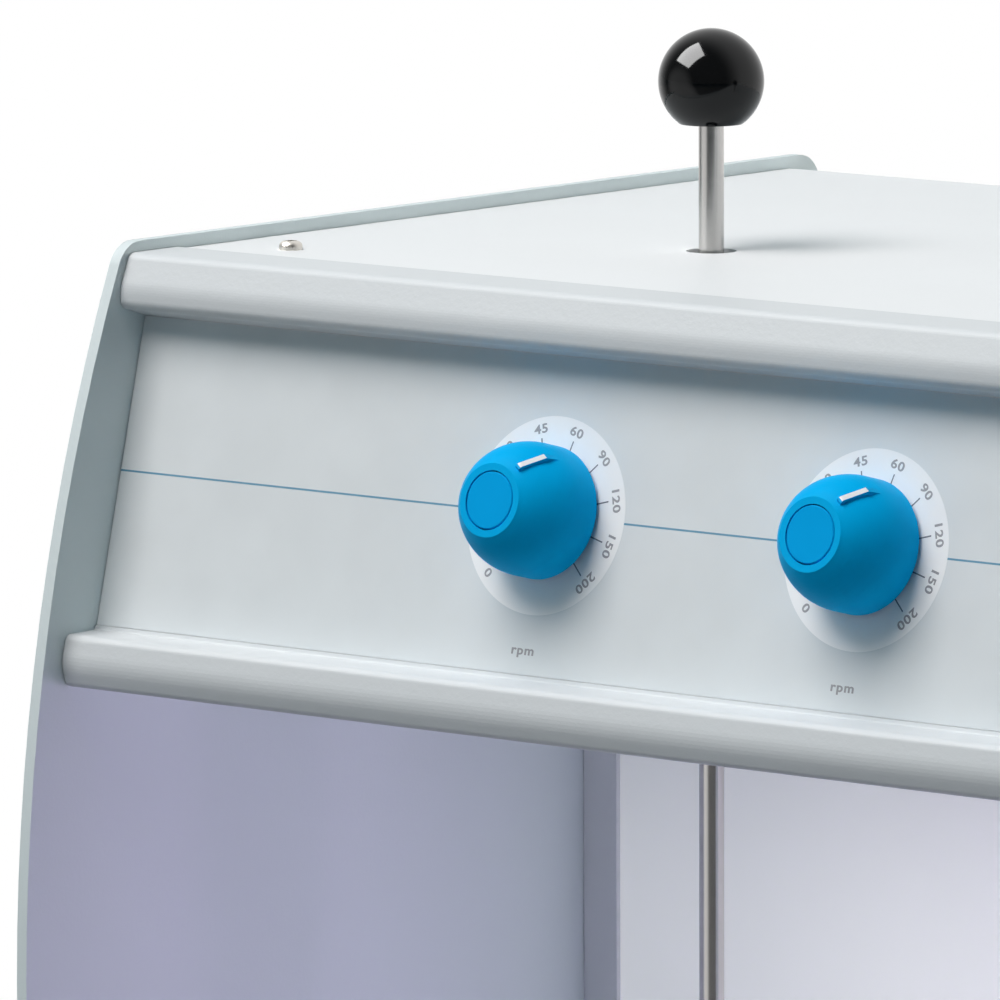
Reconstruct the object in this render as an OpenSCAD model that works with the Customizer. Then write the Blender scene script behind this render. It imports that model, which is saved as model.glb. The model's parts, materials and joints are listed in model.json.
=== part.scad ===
// Four-place jar tester: a bench stirrer with a back-lit bay for four jars.
// Millimetres. +Z is up, X runs along the row of stirrers and -Y is the front.
// The origin is at the middle of the footprint, on the bench.

/* [Housing] */
// Width over the two side panels
body_w = 645; // [620:1:760]
// Depth of a side panel, from the front of its bow to its rear edge
body_d = 299; // [292:1:330]
// Height of the side panels' top edge above the bench
side_top = 347; // [340:1:372]
// Thickness of a side panel
side_t = 3; // [2:0.5:5]
// Height of the side panels' lower edge above the bench
side_lift = 3; // [2:0.5:5]
// Radius of the bowed front edge of a side panel
bow_r = 436; // [425:1:480]
// Height at which the bowed front edge stands furthest forward
bow_z = 172; // [166:1:180]
// Corner radius of a side panel
side_corner_r = 8; // [4:0.5:12]
// Drop from the side panels' top edge to the top cover
cover_drop = 3; // [1.5:0.5:5]
// Thickness of the folded sheet covers
sheet_t = 1.5; // [1:0.1:2]
// Distance of the rear cover's face in front of the side panels' rear edge
rear_set = 8; // [6:0.5:14]
// Height of the top cover's rear flange
rear_flange_h = 24; // [18:1:34]
// Inner radius of the bend at the rear of the top cover
bend_r = 3; // [2:0.5:5]

/* [Front rails] */
// Wall of the rail extrusions
rail_wall = 2.2; // [1.6:0.1:2.6]
// Reach of the upper rail's nose in front of the control panel
nose_reach = 8.6; // [7:0.1:11]
// Height of the upper rail's nose above the bottom of its face
nose_h = 12.6; // [11.5:0.1:14]
// Height of the upper rail's top above the top cover
rail_crown = 0.5; // [0.2:0.1:0.8]
// Distance from the control panel's top edge back to the top cover's front edge
seam_set = 11.7; // [10:0.1:15]
// Width of the ledge that carries the top cover
ledge_w = 22; // [20:0.5:26]
// Height of the lower rail
low_rail_h = 12.45; // [11.5:0.05:15]
// Reach of the lower rail in front of the control panel
low_reach = 12.6; // [11:0.1:14]
// Bulge of the lower rail's and the base rail's faces
rail_bulge = 1.85; // [1.4:0.05:2.4]
// Radius of the rails' rounded edges
rail_edge_r = 2; // [1:0.1:2.4]
// Distance of the base rail behind the bowed front edge
base_inset = 5.8; // [4:0.1:9]
// Depth of the base rail from front to back
base_rail_d = 14; // [12:0.5:20]

/* [Control panel] */
// Backward tilt of the control panel
panel_tilt = 14; // [12:0.5:16]
// Height of the control panel along its slope
panel_h = 73.6; // [71:0.1:76]
// Distance from the stirrer row forward to the control panel's top edge
panel_set = 86.2; // [84:0.1:88]
// Drop from the top cover to the control panel's top edge
panel_drop = 14.9; // [14:0.1:16.5]
// Thickness of the control panel sheet
panel_t = 2; // [1.5:0.1:2.5]
// Thickness of the film overlay
film_t = 0.3; // [0.2:0.05:0.5]
// Depth to which the panel sheet passes behind each rail
panel_tuck = 4.5; // [3:0.1:6]

/* [Knobs] */
// Distance between neighbouring knobs
knob_pitch = 93; // [86:0.5:98]
// Distance from the left side panel to the first knob
knob_first = 130.3; // [120:0.1:136]
// Height of the knob axis above the middle of the control panel
knob_lift = 0.6; // [0:0.1:2]
// Radius of a knob at its foot
knob_r = 15.5; // [14:0.1:17]
// Height of a knob
knob_h = 20.2; // [19:0.1:23]
// Gap between the overlay and a knob
knob_gap = 0.8; // [0.5:0.1:1.2]
// Straight height of a knob's foot
knob_foot_h = 5.5; // [4:0.1:7]
// Radius of the flat top of a knob
knob_top_r = 8.95; // [8.6:0.05:9.4]
// Radius of the cap in the top of a knob
cap_r = 6.6; // [6:0.1:7]
// Thickness of the cap
cap_t = 2; // [1.5:0.1:2.5]
// Groove round the cap
cap_groove = 0.3; // [0.2:0.05:0.5]
// Thickness of the pointer fin
fin_t = 1.5; // [1.2:0.1:2]
// Knob setting, clockwise from straight up
knob_setting = 37; // [-135:1:135]
// Diameter of a control shaft
shaft_d = 6; // [5:0.1:6.4]

/* [Switches] */
// Width of a switch bezel
switch_w = 22; // [20:0.5:26]
// Height of a switch bezel
switch_h = 30; // [28:0.5:34]
// Thickness of a switch bezel
bezel_t = 1.8; // [1.4:0.1:2.4]
// Tilt of a rocker at rest, either side of level
rocker_tilt = 8; // [6:0.5:9]
// Distance from the right side panel to the mains switch
mains_first = 54; // [48:0.5:62]
// Distance from the right side panel to the lamp switch
lamp_first = 128; // [116:0.5:132]

/* [Stirrers] */
// Distance between neighbouring stirrers
spindle_pitch = 145; // [138:0.5:148]
// Distance of the stirrer row behind the front of the side panels
row_set = 129.5; // [127:0.1:131]
// Diameter of a stirrer rod
rod_d = 6; // [5:0.1:6.4]
// Diameter of the holes that the rods pass through in the top cover
rod_hole_d = 12; // [11:0.1:14]
// Diameter of the ball knob on a rod
ball_d = 25; // [22:0.1:30]
// Height from the flat under a ball to the ball's centre
ball_flat = 10; // [8:0.1:10.4]
// Height of the flat under a ball above the top cover
ball_gap = 30.1; // [26:0.1:40]
// Width of a paddle
paddle_w = 75; // [60:0.5:85]
// Height of a paddle
paddle_h = 25; // [22:0.5:30]
// Thickness of a paddle
paddle_t = 1.5; // [1:0.1:2]
// Height of a paddle above the bay floor
paddle_lift = 32; // [28:0.5:50]
// Diameter of a paddle's hub
hub_d = 10; // [9:0.1:12]

/* [Drive] */
// Module of the gears
gear_m = 1.5; // [1.4:0.05:1.5]
// Thickness of the gears
gear_t = 8; // [6:0.5:9]
// Backlash between gear and pinion
backlash = 0.4; // [0.3:0.05:0.6]
// Diameter of a hollow spindle
spindle_d = 12; // [11.5:0.1:13]
// Diameter of the chuck under a spindle
chuck_d = 16; // [15:0.5:18]
// Height of the chuck under a spindle
chuck_h = 19; // [15:0.5:21]
// Outside diameter of a spindle bearing
bearing_d = 24; // [22:0.5:26]
// Height of a spindle bearing
bearing_h = 6; // [5:0.5:7]
// Thickness of a bearing's flange
flange_t = 1; // [0.8:0.1:1.2]
// Running clearance round a shaft
run_fit = 0.05; // [0.03:0.01:0.08]
// Thickness of the drive plate
drive_plate_t = 3; // [2:0.5:4]
// Distance between the head floor and the drive plate
drive_space = 18; // [16:0.5:20]
// Diameter of a gear motor
motor_d = 37; // [32:0.5:40]
// Height of a gear motor
motor_h = 48; // [40:1:54]

/* [Bay and light] */
// Height of the bay floor above the bench
bay_floor = 30; // [26:0.5:34]
// Height of the rubber feet
foot_h = 6; // [5.5:0.1:8]
// Diameter of the rubber feet
foot_d = 24; // [18:0.5:28]
// Thickness of the head floor
head_floor_t = 2; // [1.5:0.1:2.5]
// Distance from the stirrer row back to the bay's rear wall
bay_back = 75.6; // [70:0.1:80]
// Margin of the rear wall round the diffuser
window_margin = 10.6; // [8:0.1:14]
// Thickness of the opal diffuser
diffuser_t = 3; // [2:0.5:4]
// Diameter of the lamp tubes
tube_d = 26; // [16:0.5:27]
// Distance between the lamp tubes
tube_space = 90; // [70:1:110]

/* [Hidden] */
STATIONS = 4;
GEAR_TEETH = 40;
PINION_TEETH = 16;
PRESSURE_ANGLE = 20;
fit_gap = 0.2;
low_rail_drop = 1.2;
nose_shoulder = 7.94;
nose_lean = 3.4;
rail_inner_r = 0.6;
rail_lip = 0.7;
rail_shelf = 9;
seam_gap = 0.3;
screw_d = 3;
screw_head_d = 5.6;
screw_head_h = 2.1;
screw_side_set = 22.4;
screw_seam_set = 15.2;
screw_reach = 3;
screw_slot_w = 0.9;
screw_slot_l = 3;
screw_slot_depth = 1.1;
screw_slot_turn = 20;
cover_hole_d = 3.4;
tap_fit = 0.05;
through = 1;

half_in = body_w / 2 - side_t;
front_y = -body_d / 2;
rear_y = body_d / 2;
row_y = front_y + row_set;
cover_z = side_top - cover_drop;
bow_centre_y = front_y + bow_r;
span_x = half_in - fit_gap;

slope_y = sin(panel_tilt);
slope_z = cos(panel_tilt);
panel_top = [row_y - panel_set, cover_z - panel_drop];
panel_y = panel_top[0] - slope_y * panel_h / 2;
panel_z = panel_top[1] - slope_z * panel_h / 2;
panel_foot = [panel_y - slope_y * panel_h / 2, panel_z - slope_z * panel_h / 2];
panel_back = -film_t - panel_t;
seam_y = panel_top[0] + seam_set;
ledge_z = cover_z - sheet_t;

low_rail_top = panel_foot[1] - low_rail_drop;
low_rail_foot = low_rail_top - low_rail_h;
floor_z = low_rail_foot + rail_wall;
floor_top = floor_z + head_floor_t;
floor_lip = 4;
floor_front_y = panel_foot[0] - floor_lip;

rear_face_y = rear_y - rear_set;
rear_cover_y = rear_face_y - sheet_t;
inner_rear_y = rear_cover_y - sheet_t;
back_wall_y = row_y + bay_back;

gear_r = gear_m * GEAR_TEETH / 2;
pinion_r = gear_m * PINION_TEETH / 2;
motor_set = gear_r + pinion_r;
gear_lift = 3;
gear_z = floor_top + flange_t + gear_lift;
drive_z = floor_top + drive_space;
drive_top = drive_z + drive_plate_t;
low_bearing_z = floor_top + flange_t - bearing_h;
top_bearing_z = drive_top + flange_t - bearing_h;
chuck_z = low_bearing_z - fit_gap - chuck_h;
spindle_rise = 9;
spindle_top = drive_top + flange_t + spindle_rise;
plate_front = 36;
plate_margin = 8;
plate_rear = motor_set + motor_d / 2 + plate_margin;
plate_side = 54;
spacer_inset = 8;
spacer_side_inset = 10;
spacer_w = 8;
floor_flange_set = 24;
floor_flange_h = 14;
race_w = 1.6;
race_dip = 0.3;
flange_reach = 1.3;

rod_seat = 4;
rod_foot = bay_floor + paddle_lift + rod_seat;
ball_z = cover_z + ball_gap + ball_flat;
rod_top = ball_z;

base_rail_y = bow_y(bay_floor / 2 + foot_h / 2) + base_inset;
tray_front_y = base_rail_y + rail_bulge + base_rail_d;

vent_w = 3;
vent_h = 32;
vent_step = 9;
vent_n = 12;
vent_head_rise = 45;
vent_bay_rise = 40;
inlet_side_set = 69;
inlet_rise = 42;
inlet_x = half_in - inlet_side_set;
inlet_z = floor_top + inlet_rise;
inlet_w = 27;
inlet_h = 46;

pot_bush_d = 9;
pot_bush_reach = 4.5;
pot_nut_d = 13;
pot_nut_h = 2.4;
pot_body_d = 24;
pot_body_h = 11;
pot_bore = 8;
pot_leg_pitch = 5;
pot_leg_w = 2;
pot_leg_t = 0.8;
pot_leg_set = 3.2;
pot_leg_reach = 4;
pot_leg_root = 8;
shaft_depth = 7;
board_t = 1.6;
board_side = 28;
board_low = 24;
board_high = 28;
capacitor_d = 10;
capacitor_h = 12;
capacitor_at = [20, 8];
relay_low = [-12, 10];
relay_high = [8, 24];
relay_h = 8;
socket_low = [-10, -20];
socket_high = [10, -14];
plug_h = 5;
switch_body_w = switch_w - 2;
switch_body_h = switch_h - 3;
well_w = switch_w - 5;
well_h = switch_h - 6;
well_depth = 14;
switch_back_t = 3;
switch_lug_w = 6;
switch_lug_set = 8;
switch_lug_t = 0.8;
switch_lug_h = 8;
rocker_w = well_w - 0.8;
rocker_r = well_h / 2 - 0.4;
pivot_z = -1;
pivot_d = 3;
pivot_reach = 0.8;
pivot_end_gap = 0.2;
rocker_crest = 1.4;
rocker_rise = 1.6;
rocker_dip = 0.4;
rocker_deep = 7;

knob_bevel = 0.4;
cap_bevel = 0.2;
shaft_cover = 3.5;
shaft_top = knob_gap + knob_h - cap_t - shaft_cover;
nut_room_d = 18;
nut_room_h = 4.6;

stud_d = 4;
stud_head_d = 7;
stud_head_h = 2.4;
shaft_hole_d = 14;
motor_shaft_d = 5;
motor_shaft_reach = 9.5;
motor_bore = 14;
motor_boss_d = 13;
motor_step = 3;
motor_cap_h = 2;
gearbox_h = 20;
terminal_set = 11;
terminal_w = 4;
terminal_h = 6;
terminal_t = 0.8;
pinion_collar_d = 11;
pinion_collar_h = 1.5;
hub_gap = 0.3;
hub_wall = 4;
hub_rise = 1.5;
ring_w = 2;
ring_t = 1.2;
spindle_bevel = 0.5;
chuck_nose_h = 4;
chuck_nose_w = 3;
chuck_groove = 0.8;
chuck_groove_top = 3;
chuck_groove_h = 2;
chuck_groove_bevel = 0.4;

window_x = half_in - window_margin;
window_low = bay_floor + window_margin;
window_high = floor_z - window_margin;
diffuser_lap = 6;
tube_gap = 16;
tube_side_gap = 24;
lamp_y = back_wall_y + sheet_t + diffuser_t + tube_gap + tube_d / 2;
lamp_mid_z = (bay_floor + floor_z) / 2;
tube_reach = half_in - tube_side_gap;
tube_pin_d = 2.4;
tube_pin_set = 4;
tube_pin_reach = 6;
holder_t = 9;
holder_wall = 2;
holder_slot_h = 2.8;
holder_slot_depth = 6;
tray_step = 1;
tray_lip = 32;
foot_margin = 4;
foot_taper = 3;
foot_bore_d = 7;
foot_bore_h = 3;

supply_x = 19;
supply_gap = 12;
supply_inset = 6;
supply_w = 150;
supply_plate_t = 2;
winding_x = 12;
winding_w = 72;
winding_h = 48;
core_inset = 12;
core_lift = 9;
core_h = 30;
ballast_x = 100;
ballast_w = 44;
ballast_h = 28;
inlet_flange_t = 2;
inlet_flange_w = 3;
inlet_depth = 26;
socket_w = 24.2;
socket_h = 16.6;
socket_depth = 17;
socket_rise = 11;
socket_pins = [[-7, 1.5], [0, -3], [7, 1.5]];
socket_pin_w = 2;
socket_pin_h = 4;
socket_pin_set = 6.5;
drawer_drop = 13;
drawer_w = 20;
drawer_h = 14;
drawer_depth = 15;
grip_w = 12;
grip_h = 1.6;
grip_rise = 3.6;
grip_depth = 2;

// ---- Places -------------------------------------------------------------

// Y of the bowed front edge at height z
function bow_y(z) = bow_centre_y - sqrt(bow_r * bow_r - (z - bow_z) * (z - bow_z));

function station_x(i) = (i - (STATIONS + 1) / 2) * spindle_pitch;

function knob_x(i) = -half_in + knob_first + (i - 1) * knob_pitch;

// Places what is drawn flat on the control panel: y up the slope, z outwards
module on_panel() {
    translate([0, panel_y, panel_z]) rotate([90 - panel_tilt, 0, 0]) children();
}

module at_knob(i) {
    on_panel() translate([knob_x(i), knob_lift, 0]) children();
}

module at_station(i) {
    translate([station_x(i), row_y, 0]) children();
}

// ---- Outlines -----------------------------------------------------------

// Points of the arc that rounds corner b, between a and c, to radius r
function corner_arc(a, b, c, r, steps) =
    let (u = (a - b) / norm(a - b), v = (c - b) / norm(c - b))
    let (half = acos(u * v) / 2)
    let (centre = b + (u + v) / norm(u + v) * r / sin(half))
    let (p = b + u * r / tan(half) - centre, q = b + v * r / tan(half) - centre)
    let (from = atan2(p[1], p[0]), turn = atan2(p[0] * q[1] - p[1] * q[0], p * q))
    [for (k = [0 : steps]) centre + r * [cos(from + turn * k / steps), sin(from + turn * k / steps)]];

// A closed outline from corners [x, y, radius], each rounded to its radius
function rounded(corners, steps = 6) =
    let (n = len(corners), xy = [for (p = corners) [p[0], p[1]]])
    [for (k = [0 : n - 1])
        each (corners[k][2] > 0
            ? corner_arc(xy[(k + n - 1) % n], xy[k], xy[(k + 1) % n], corners[k][2], steps)
            : [xy[k]])];

// Extrudes an outline drawn in Y and Z along X, from -reach to reach
module along_x(reach) {
    translate([-reach, 0, 0]) rotate([90, 0, 90]) linear_extrude(2 * reach) children();
}

// Box from corner to corner
module box(low, high) {
    translate(low) cube(high - low);
}

// ---- Side panels --------------------------------------------------------

// Centre of the round at a front corner, at height z
function bow_corner(z) =
    [bow_centre_y - sqrt(pow(bow_r - side_corner_r, 2) - pow(z - bow_z, 2)), z];

// What a round takes off a front corner; up is 1 at the top and -1 at the bottom
module bow_corner_waste(z, up) {
    centre = bow_corner(z);
    hub = [bow_centre_y, bow_z];
    outside = hub + (centre - hub) * (bow_r + side_corner_r) / (bow_r - side_corner_r);
    tip_z = z + up * 2 * side_corner_r;
    difference() {
        polygon([centre, [centre[0], tip_z], [outside[0] - side_corner_r, tip_z], outside]);
        translate(centre) circle(side_corner_r, $fn = 64);
    }
}

// What a round takes off a rear corner
module rear_corner_waste(z, up) {
    centre = [rear_y - side_corner_r, z];
    difference() {
        translate([centre[0], up > 0 ? z : z - 2 * side_corner_r]) square(2 * side_corner_r);
        translate(centre) circle(side_corner_r, $fn = 64);
    }
}

module side_outline() {
    high = side_top - side_corner_r;
    low = side_lift + side_corner_r;
    difference() {
        intersection() {
            translate([bow_centre_y, bow_z]) circle(bow_r, $fn = 360);
            translate([front_y, side_lift]) square([body_d, side_top - side_lift]);
        }
        bow_corner_waste(high, 1);
        bow_corner_waste(low, -1);
        rear_corner_waste(high, 1);
        rear_corner_waste(low, -1);
    }
}

module side_panel(x) {
    color([0.80, 0.84, 0.85])
        translate([x, 0, 0]) rotate([90, 0, 90]) linear_extrude(side_t) side_outline();
}

// ---- Top and rear covers ------------------------------------------------

function cover_screw_places() =
    [for (side = [-1, 1]) [side * (half_in - screw_side_set), seam_y + screw_seam_set]];

function flange_screw_places() =
    [for (k = [-1 : 1]) [k * (half_in - 2 * screw_side_set), ledge_z - rear_flange_h / 2]];

function foot_screw_places() =
    [for (k = [-1 : 1]) [k * (half_in - 2 * screw_side_set), (foot_h + bay_floor) / 2]];

module top_cover() {
    outside = rounded([[seam_y + seam_gap, cover_z, 0], [rear_face_y, cover_z, bend_r + sheet_t],
        [rear_face_y, ledge_z - rear_flange_h, 0], [rear_cover_y, ledge_z - rear_flange_h, 0],
        [rear_cover_y, ledge_z, bend_r], [seam_y + seam_gap, ledge_z, 0]]);
    color([0.90, 0.92, 0.93]) difference() {
        along_x(span_x) polygon(outside);
        for (i = [1 : STATIONS])
            at_station(i) translate([0, 0, ledge_z - through])
                cylinder(h = sheet_t + 2 * through, d = rod_hole_d, $fn = 64);
        for (p = cover_screw_places())
            translate([p[0], p[1], ledge_z - through])
                cylinder(h = sheet_t + 2 * through, d = cover_hole_d, $fn = 32);
        for (p = flange_screw_places())
            translate([p[0], rear_cover_y - through, p[1]])
                rotate([-90, 0, 0]) cylinder(h = sheet_t + 2 * through, d = cover_hole_d, $fn = 32);
    }
}

// A row of upright vent slots with round ends, through the rear cover
module vents(x, z) {
    for (k = [0 : vent_n - 1])
        translate([x + (k - (vent_n - 1) / 2) * vent_step, 0, z]) {
            box([-vent_w / 2, inner_rear_y - through, -vent_h / 2],
                [vent_w / 2, rear_cover_y + through, vent_h / 2]);
            for (side = [-1, 1])
                translate([0, inner_rear_y - through, side * vent_h / 2])
                    rotate([-90, 0, 0]) cylinder(h = sheet_t + 2 * through, d = vent_w, $fn = 24);
        }
}

module rear_cover() {
    color([0.80, 0.84, 0.85]) difference() {
        box([-span_x, inner_rear_y, foot_h], [span_x, rear_cover_y, ledge_z - bend_r]);
        vents(-half_in / 2, floor_top + vent_head_rise);
        vents(0, floor_top + vent_head_rise);
        vents(-half_in / 2, bay_floor + vent_bay_rise);
        vents(half_in / 2, bay_floor + vent_bay_rise);
        box([inlet_x - inlet_w / 2 - fit_gap, inner_rear_y - through, inlet_z - inlet_h / 2 - fit_gap],
            [inlet_x + inlet_w / 2 + fit_gap, rear_cover_y + through, inlet_z + inlet_h / 2 + fit_gap]);
        for (p = concat(flange_screw_places(), foot_screw_places()))
            translate([p[0], inner_rear_y - through, p[1]]) rotate([-90, 0, 0])
                cylinder(h = sheet_t + 2 * through, d = screw_d + 2 * tap_fit, $fn = 32);
    }
}

// ---- Front rails --------------------------------------------------------

// Y at height z of a plane parallel to the control panel, depth behind its face
function behind_panel(depth, z) = panel_y + (depth + (z - panel_z) * slope_y) / slope_z;

module upper_front_rail() {
    w = rail_wall;
    crown = cover_z + rail_crown;
    nose = panel_top[0] - nose_reach;
    foot = crown - nose_h;
    shoulder = crown - nose_shoulder;
    lean_slope = nose_lean / nose_shoulder;
    inner_lean = w * sqrt(1 + lean_slope * lean_slope) + lean_slope * (crown - w - shoulder);
    lip = panel_top[1] + 0.1;
    profile = rounded([
        [seam_y, crown, 0.4], [nose + nose_lean, crown, rail_edge_r + 0.4], [nose, shoulder, 9],
        [nose, foot, rail_edge_r + 0.4], [behind_panel(film_t, lip), lip, 0],
        [behind_panel(film_t, lip + w), lip + w, 0], [nose + w, foot + w, rail_inner_r],
        [nose + w, shoulder - 0.4, 3], [nose + inner_lean, crown - w, rail_inner_r],
        [seam_y - w, crown - w, 0], [seam_y - w, ledge_z - w, 0],
        [seam_y + ledge_w, ledge_z - w, 0], [seam_y + ledge_w, ledge_z, 0], [seam_y, ledge_z, 0]]);
    color([0.88, 0.90, 0.91]) difference() {
        along_x(span_x) polygon(profile);
        for (p = cover_screw_places())
            translate([p[0], p[1], ledge_z - w - through])
                cylinder(h = w + 2 * through, d = screw_d + 2 * tap_fit, $fn = 32);
    }
}

module lower_front_rail() {
    w = rail_wall;
    crown = low_rail_top;
    foot = low_rail_foot;
    nose = panel_foot[0] - low_reach;
    waist = crown - low_rail_h * 0.55;
    lip = panel_foot[1] - 0.15;
    root = behind_panel(film_t, lip);
    profile = rounded([
        [root, lip, 0], [root - rail_lip, lip, 0], [root - rail_lip - 0.4, crown, 0.7],
        [nose + rail_bulge, crown, rail_edge_r], [nose, waist, 9], [nose + rail_bulge, foot, rail_edge_r],
        [floor_front_y + rail_shelf, foot, 0], [floor_front_y + rail_shelf, foot + w, 0],
        [nose + rail_bulge + w, foot + w, rail_inner_r], [nose + w, waist, 6],
        [nose + rail_bulge + w, crown - w, rail_inner_r], [behind_panel(film_t, crown - w), crown - w, 0]]);
    color([0.88, 0.90, 0.91]) along_x(span_x) polygon(profile);
}

module base_front_rail() {
    w = rail_wall;
    face = base_rail_y;
    shy = face + rail_bulge;
    waist = (foot_h + bay_floor) / 2;
    color([0.88, 0.90, 0.91]) difference() {
        along_x(span_x) polygon(rounded([
            [tray_front_y, bay_floor, 0], [shy, bay_floor, rail_edge_r], [face, waist, 20],
            [shy, foot_h, rail_edge_r], [tray_front_y, foot_h, 0]]));
        along_x(body_w) polygon(rounded([
            [tray_front_y - w, bay_floor - w, 0], [shy + w, bay_floor - w, rail_inner_r],
            [face + w, waist, 20 - w],
            [shy + w, foot_h + w, rail_inner_r], [tray_front_y - w, foot_h + w, 0]]));
    }
}

// ---- Control panel ------------------------------------------------------

function switch_places() = [half_in - mains_first, half_in - lamp_first];

// The holes that panel and overlay share, with extra all round
module panel_holes(thick, extra) {
    for (i = [1 : STATIONS])
        translate([knob_x(i), knob_lift, -thick / 2])
            cylinder(h = thick, d = pot_bush_d + 2 * extra, $fn = 48);
    for (x = switch_places())
        translate([x, 0, 0])
            cube([switch_body_w + 2 * extra, switch_body_h + 2 * extra, thick], center = true);
}

module control_panel() {
    color([0.78, 0.80, 0.81]) on_panel() difference() {
        box([-span_x, -panel_h / 2 - panel_tuck, panel_back], [span_x, panel_h / 2 + panel_tuck, -film_t]);
        panel_holes(20, fit_gap);
    }
}

module panel_overlay() {
    color([0.82, 0.84, 0.85]) on_panel() difference() {
        box([-span_x, -panel_h / 2, -film_t], [span_x, panel_h / 2, 0]);
        panel_holes(20, fit_gap);
    }
}

module potentiometers() {
    color([0.45, 0.46, 0.47]) for (i = [1 : STATIONS]) at_knob(i) difference() {
        union() {
            translate([0, 0, panel_back - pot_body_h]) cylinder(h = pot_body_h, d = pot_body_d, $fn = 64);
            translate([0, 0, panel_back])
                cylinder(h = pot_bush_reach - panel_back, d = pot_bush_d, $fn = 48);
            cylinder(h = pot_nut_h, d = pot_nut_d, $fn = 6);
            for (k = [-1 : 1]) translate([k * pot_leg_pitch, 0, panel_back - pot_leg_set - pot_leg_t])
                box([-pot_leg_w / 2, -pot_body_d / 2 - pot_leg_reach, 0],
                    [pot_leg_w / 2, -pot_leg_root, pot_leg_t]);
        }
        translate([0, 0, panel_back - pot_bore])
            cylinder(h = pot_bore + pot_bush_reach - panel_back + through,
                d = shaft_d + 2 * run_fit, $fn = 48);
    }
}

module control_board() {
    face = panel_back - pot_body_h;
    rear = face - board_t;
    color([0.10, 0.38, 0.22]) on_panel() {
        box([knob_x(1) - board_side, -board_low, rear], [knob_x(STATIONS) + board_side, board_high, face]);
        for (i = [1 : STATIONS]) translate([knob_x(i), 0, rear]) {
            translate([capacitor_at[0], capacitor_at[1], -capacitor_h])
                cylinder(h = capacitor_h, d = capacitor_d, $fn = 32);
            box([relay_low[0], relay_low[1], -relay_h], [relay_high[0], relay_high[1], 0]);
            box([socket_low[0], socket_low[1], -plug_h], [socket_high[0], socket_high[1], 0]);
        }
    }
}

module switch_frames() {
    color([0.10, 0.10, 0.11]) on_panel() for (x = switch_places()) translate([x, 0, 0]) difference() {
        union() {
            box([-switch_w / 2, -switch_h / 2, 0], [switch_w / 2, switch_h / 2, bezel_t]);
            box([-switch_body_w / 2, -switch_body_h / 2, -well_depth - switch_back_t],
                [switch_body_w / 2, switch_body_h / 2, 0]);
            for (k = [-1, 1]) translate([0, k * switch_lug_set, -well_depth - switch_back_t])
                box([-switch_lug_w / 2, -switch_lug_t / 2, -switch_lug_h],
                    [switch_lug_w / 2, switch_lug_t / 2, 0]);
        }
        box([-well_w / 2, -well_h / 2, -well_depth], [well_w / 2, well_h / 2, bezel_t + through]);
        translate([0, 0, pivot_z]) rotate([0, 90, 0])
            cylinder(h = well_w + 2 * pivot_reach, d = pivot_d + 2 * run_fit, center = true, $fn = 32);
    }
}

// One rocker, shown with its upper end pressed
module rocker(x, tint) {
    crest = bezel_t + rocker_crest;
    color(tint) on_panel() translate([x, 0, pivot_z]) rotate([-rocker_tilt, 0, 0]) {
        rotate([90, 0, 90]) translate([0, 0, -rocker_w / 2]) linear_extrude(rocker_w) intersection() {
            circle(rocker_r, $fn = 96);
            polygon([[-rocker_r, crest + rocker_rise], [0, crest - rocker_dip],
                [rocker_r, crest + rocker_rise], [rocker_r * 0.8, -rocker_deep],
                [-rocker_r * 0.8, -rocker_deep]]);
        }
        rotate([0, 90, 0])
            cylinder(h = well_w + 2 * (pivot_reach - pivot_end_gap), d = pivot_d, center = true, $fn = 32);
    }
}

// ---- Knobs --------------------------------------------------------------

// Half outline of a knob: straight foot, one round flank, flat top with a cap seat
function knob_outline() =
    let (rise = knob_h - knob_bevel - knob_foot_h, inset = knob_r - knob_top_r)
    let (flank_r = (inset * inset + rise * rise) / (2 * inset), sweep = asin(rise / flank_r))
    concat([[0, 0], [knob_r - knob_bevel, 0], [knob_r, knob_bevel]],
        [for (k = [0 : 12]) [knob_r - flank_r + flank_r * cos(sweep * k / 12),
            knob_foot_h + flank_r * sin(sweep * k / 12)]],
        [[knob_top_r - knob_bevel, knob_h], [cap_r + cap_groove, knob_h],
            [cap_r + cap_groove, knob_h - cap_t], [0, knob_h - cap_t]]);

// The raised pointer, from the rim of the flat top down the flank
module pointer_fin() {
    rotate([90, 0, 90]) translate([0, 0, -fin_t / 2]) linear_extrude(fin_t) polygon([
        [knob_top_r - 1, knob_h - 2.6], [knob_top_r + 1.3, knob_h - 0.6], [knob_top_r + 2.1, knob_h - 1],
        [knob_r - 0.7, knob_h - 6.6], [knob_r - 0.3, knob_foot_h + 2], [knob_top_r - 1, knob_foot_h + 2]]);
}

module knob(i) {
    color([0.0, 0.50, 0.80]) at_knob(i) translate([0, 0, knob_gap]) difference() {
        union() {
            rotate_extrude($fn = 96) polygon(knob_outline());
            rotate([0, 0, -knob_setting]) pointer_fin();
        }
        translate([0, 0, -through]) cylinder(h = nut_room_h + through, d = nut_room_d, $fn = 64);
        cylinder(h = shaft_top - knob_gap, d = shaft_d + 2 * tap_fit, $fn = 48);
    }
}

module knob_cap(i) {
    color([0.0, 0.56, 0.86]) at_knob(i) translate([0, 0, knob_gap + knob_h - cap_t])
        rotate_extrude($fn = 96) polygon([
            [0, 0], [cap_r, 0], [cap_r, cap_t - cap_bevel], [cap_r - cap_bevel, cap_t], [0, cap_t]]);
}

module control_shaft(i) {
    color([0.75, 0.76, 0.77]) at_knob(i)
        translate([0, 0, panel_back - shaft_depth])
            cylinder(h = shaft_top + shaft_depth - panel_back, d = shaft_d, $fn = 48);
}

// ---- Head floor and drive -----------------------------------------------

function spacer_places() =
    let (end = station_x(STATIONS) + plate_side - spacer_side_inset)
    [for (x = [-end, -spindle_pitch, 0, spindle_pitch, end],
        y = [row_y - plate_front + spacer_inset, row_y + plate_rear - spacer_inset]) [x, y]];

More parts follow.
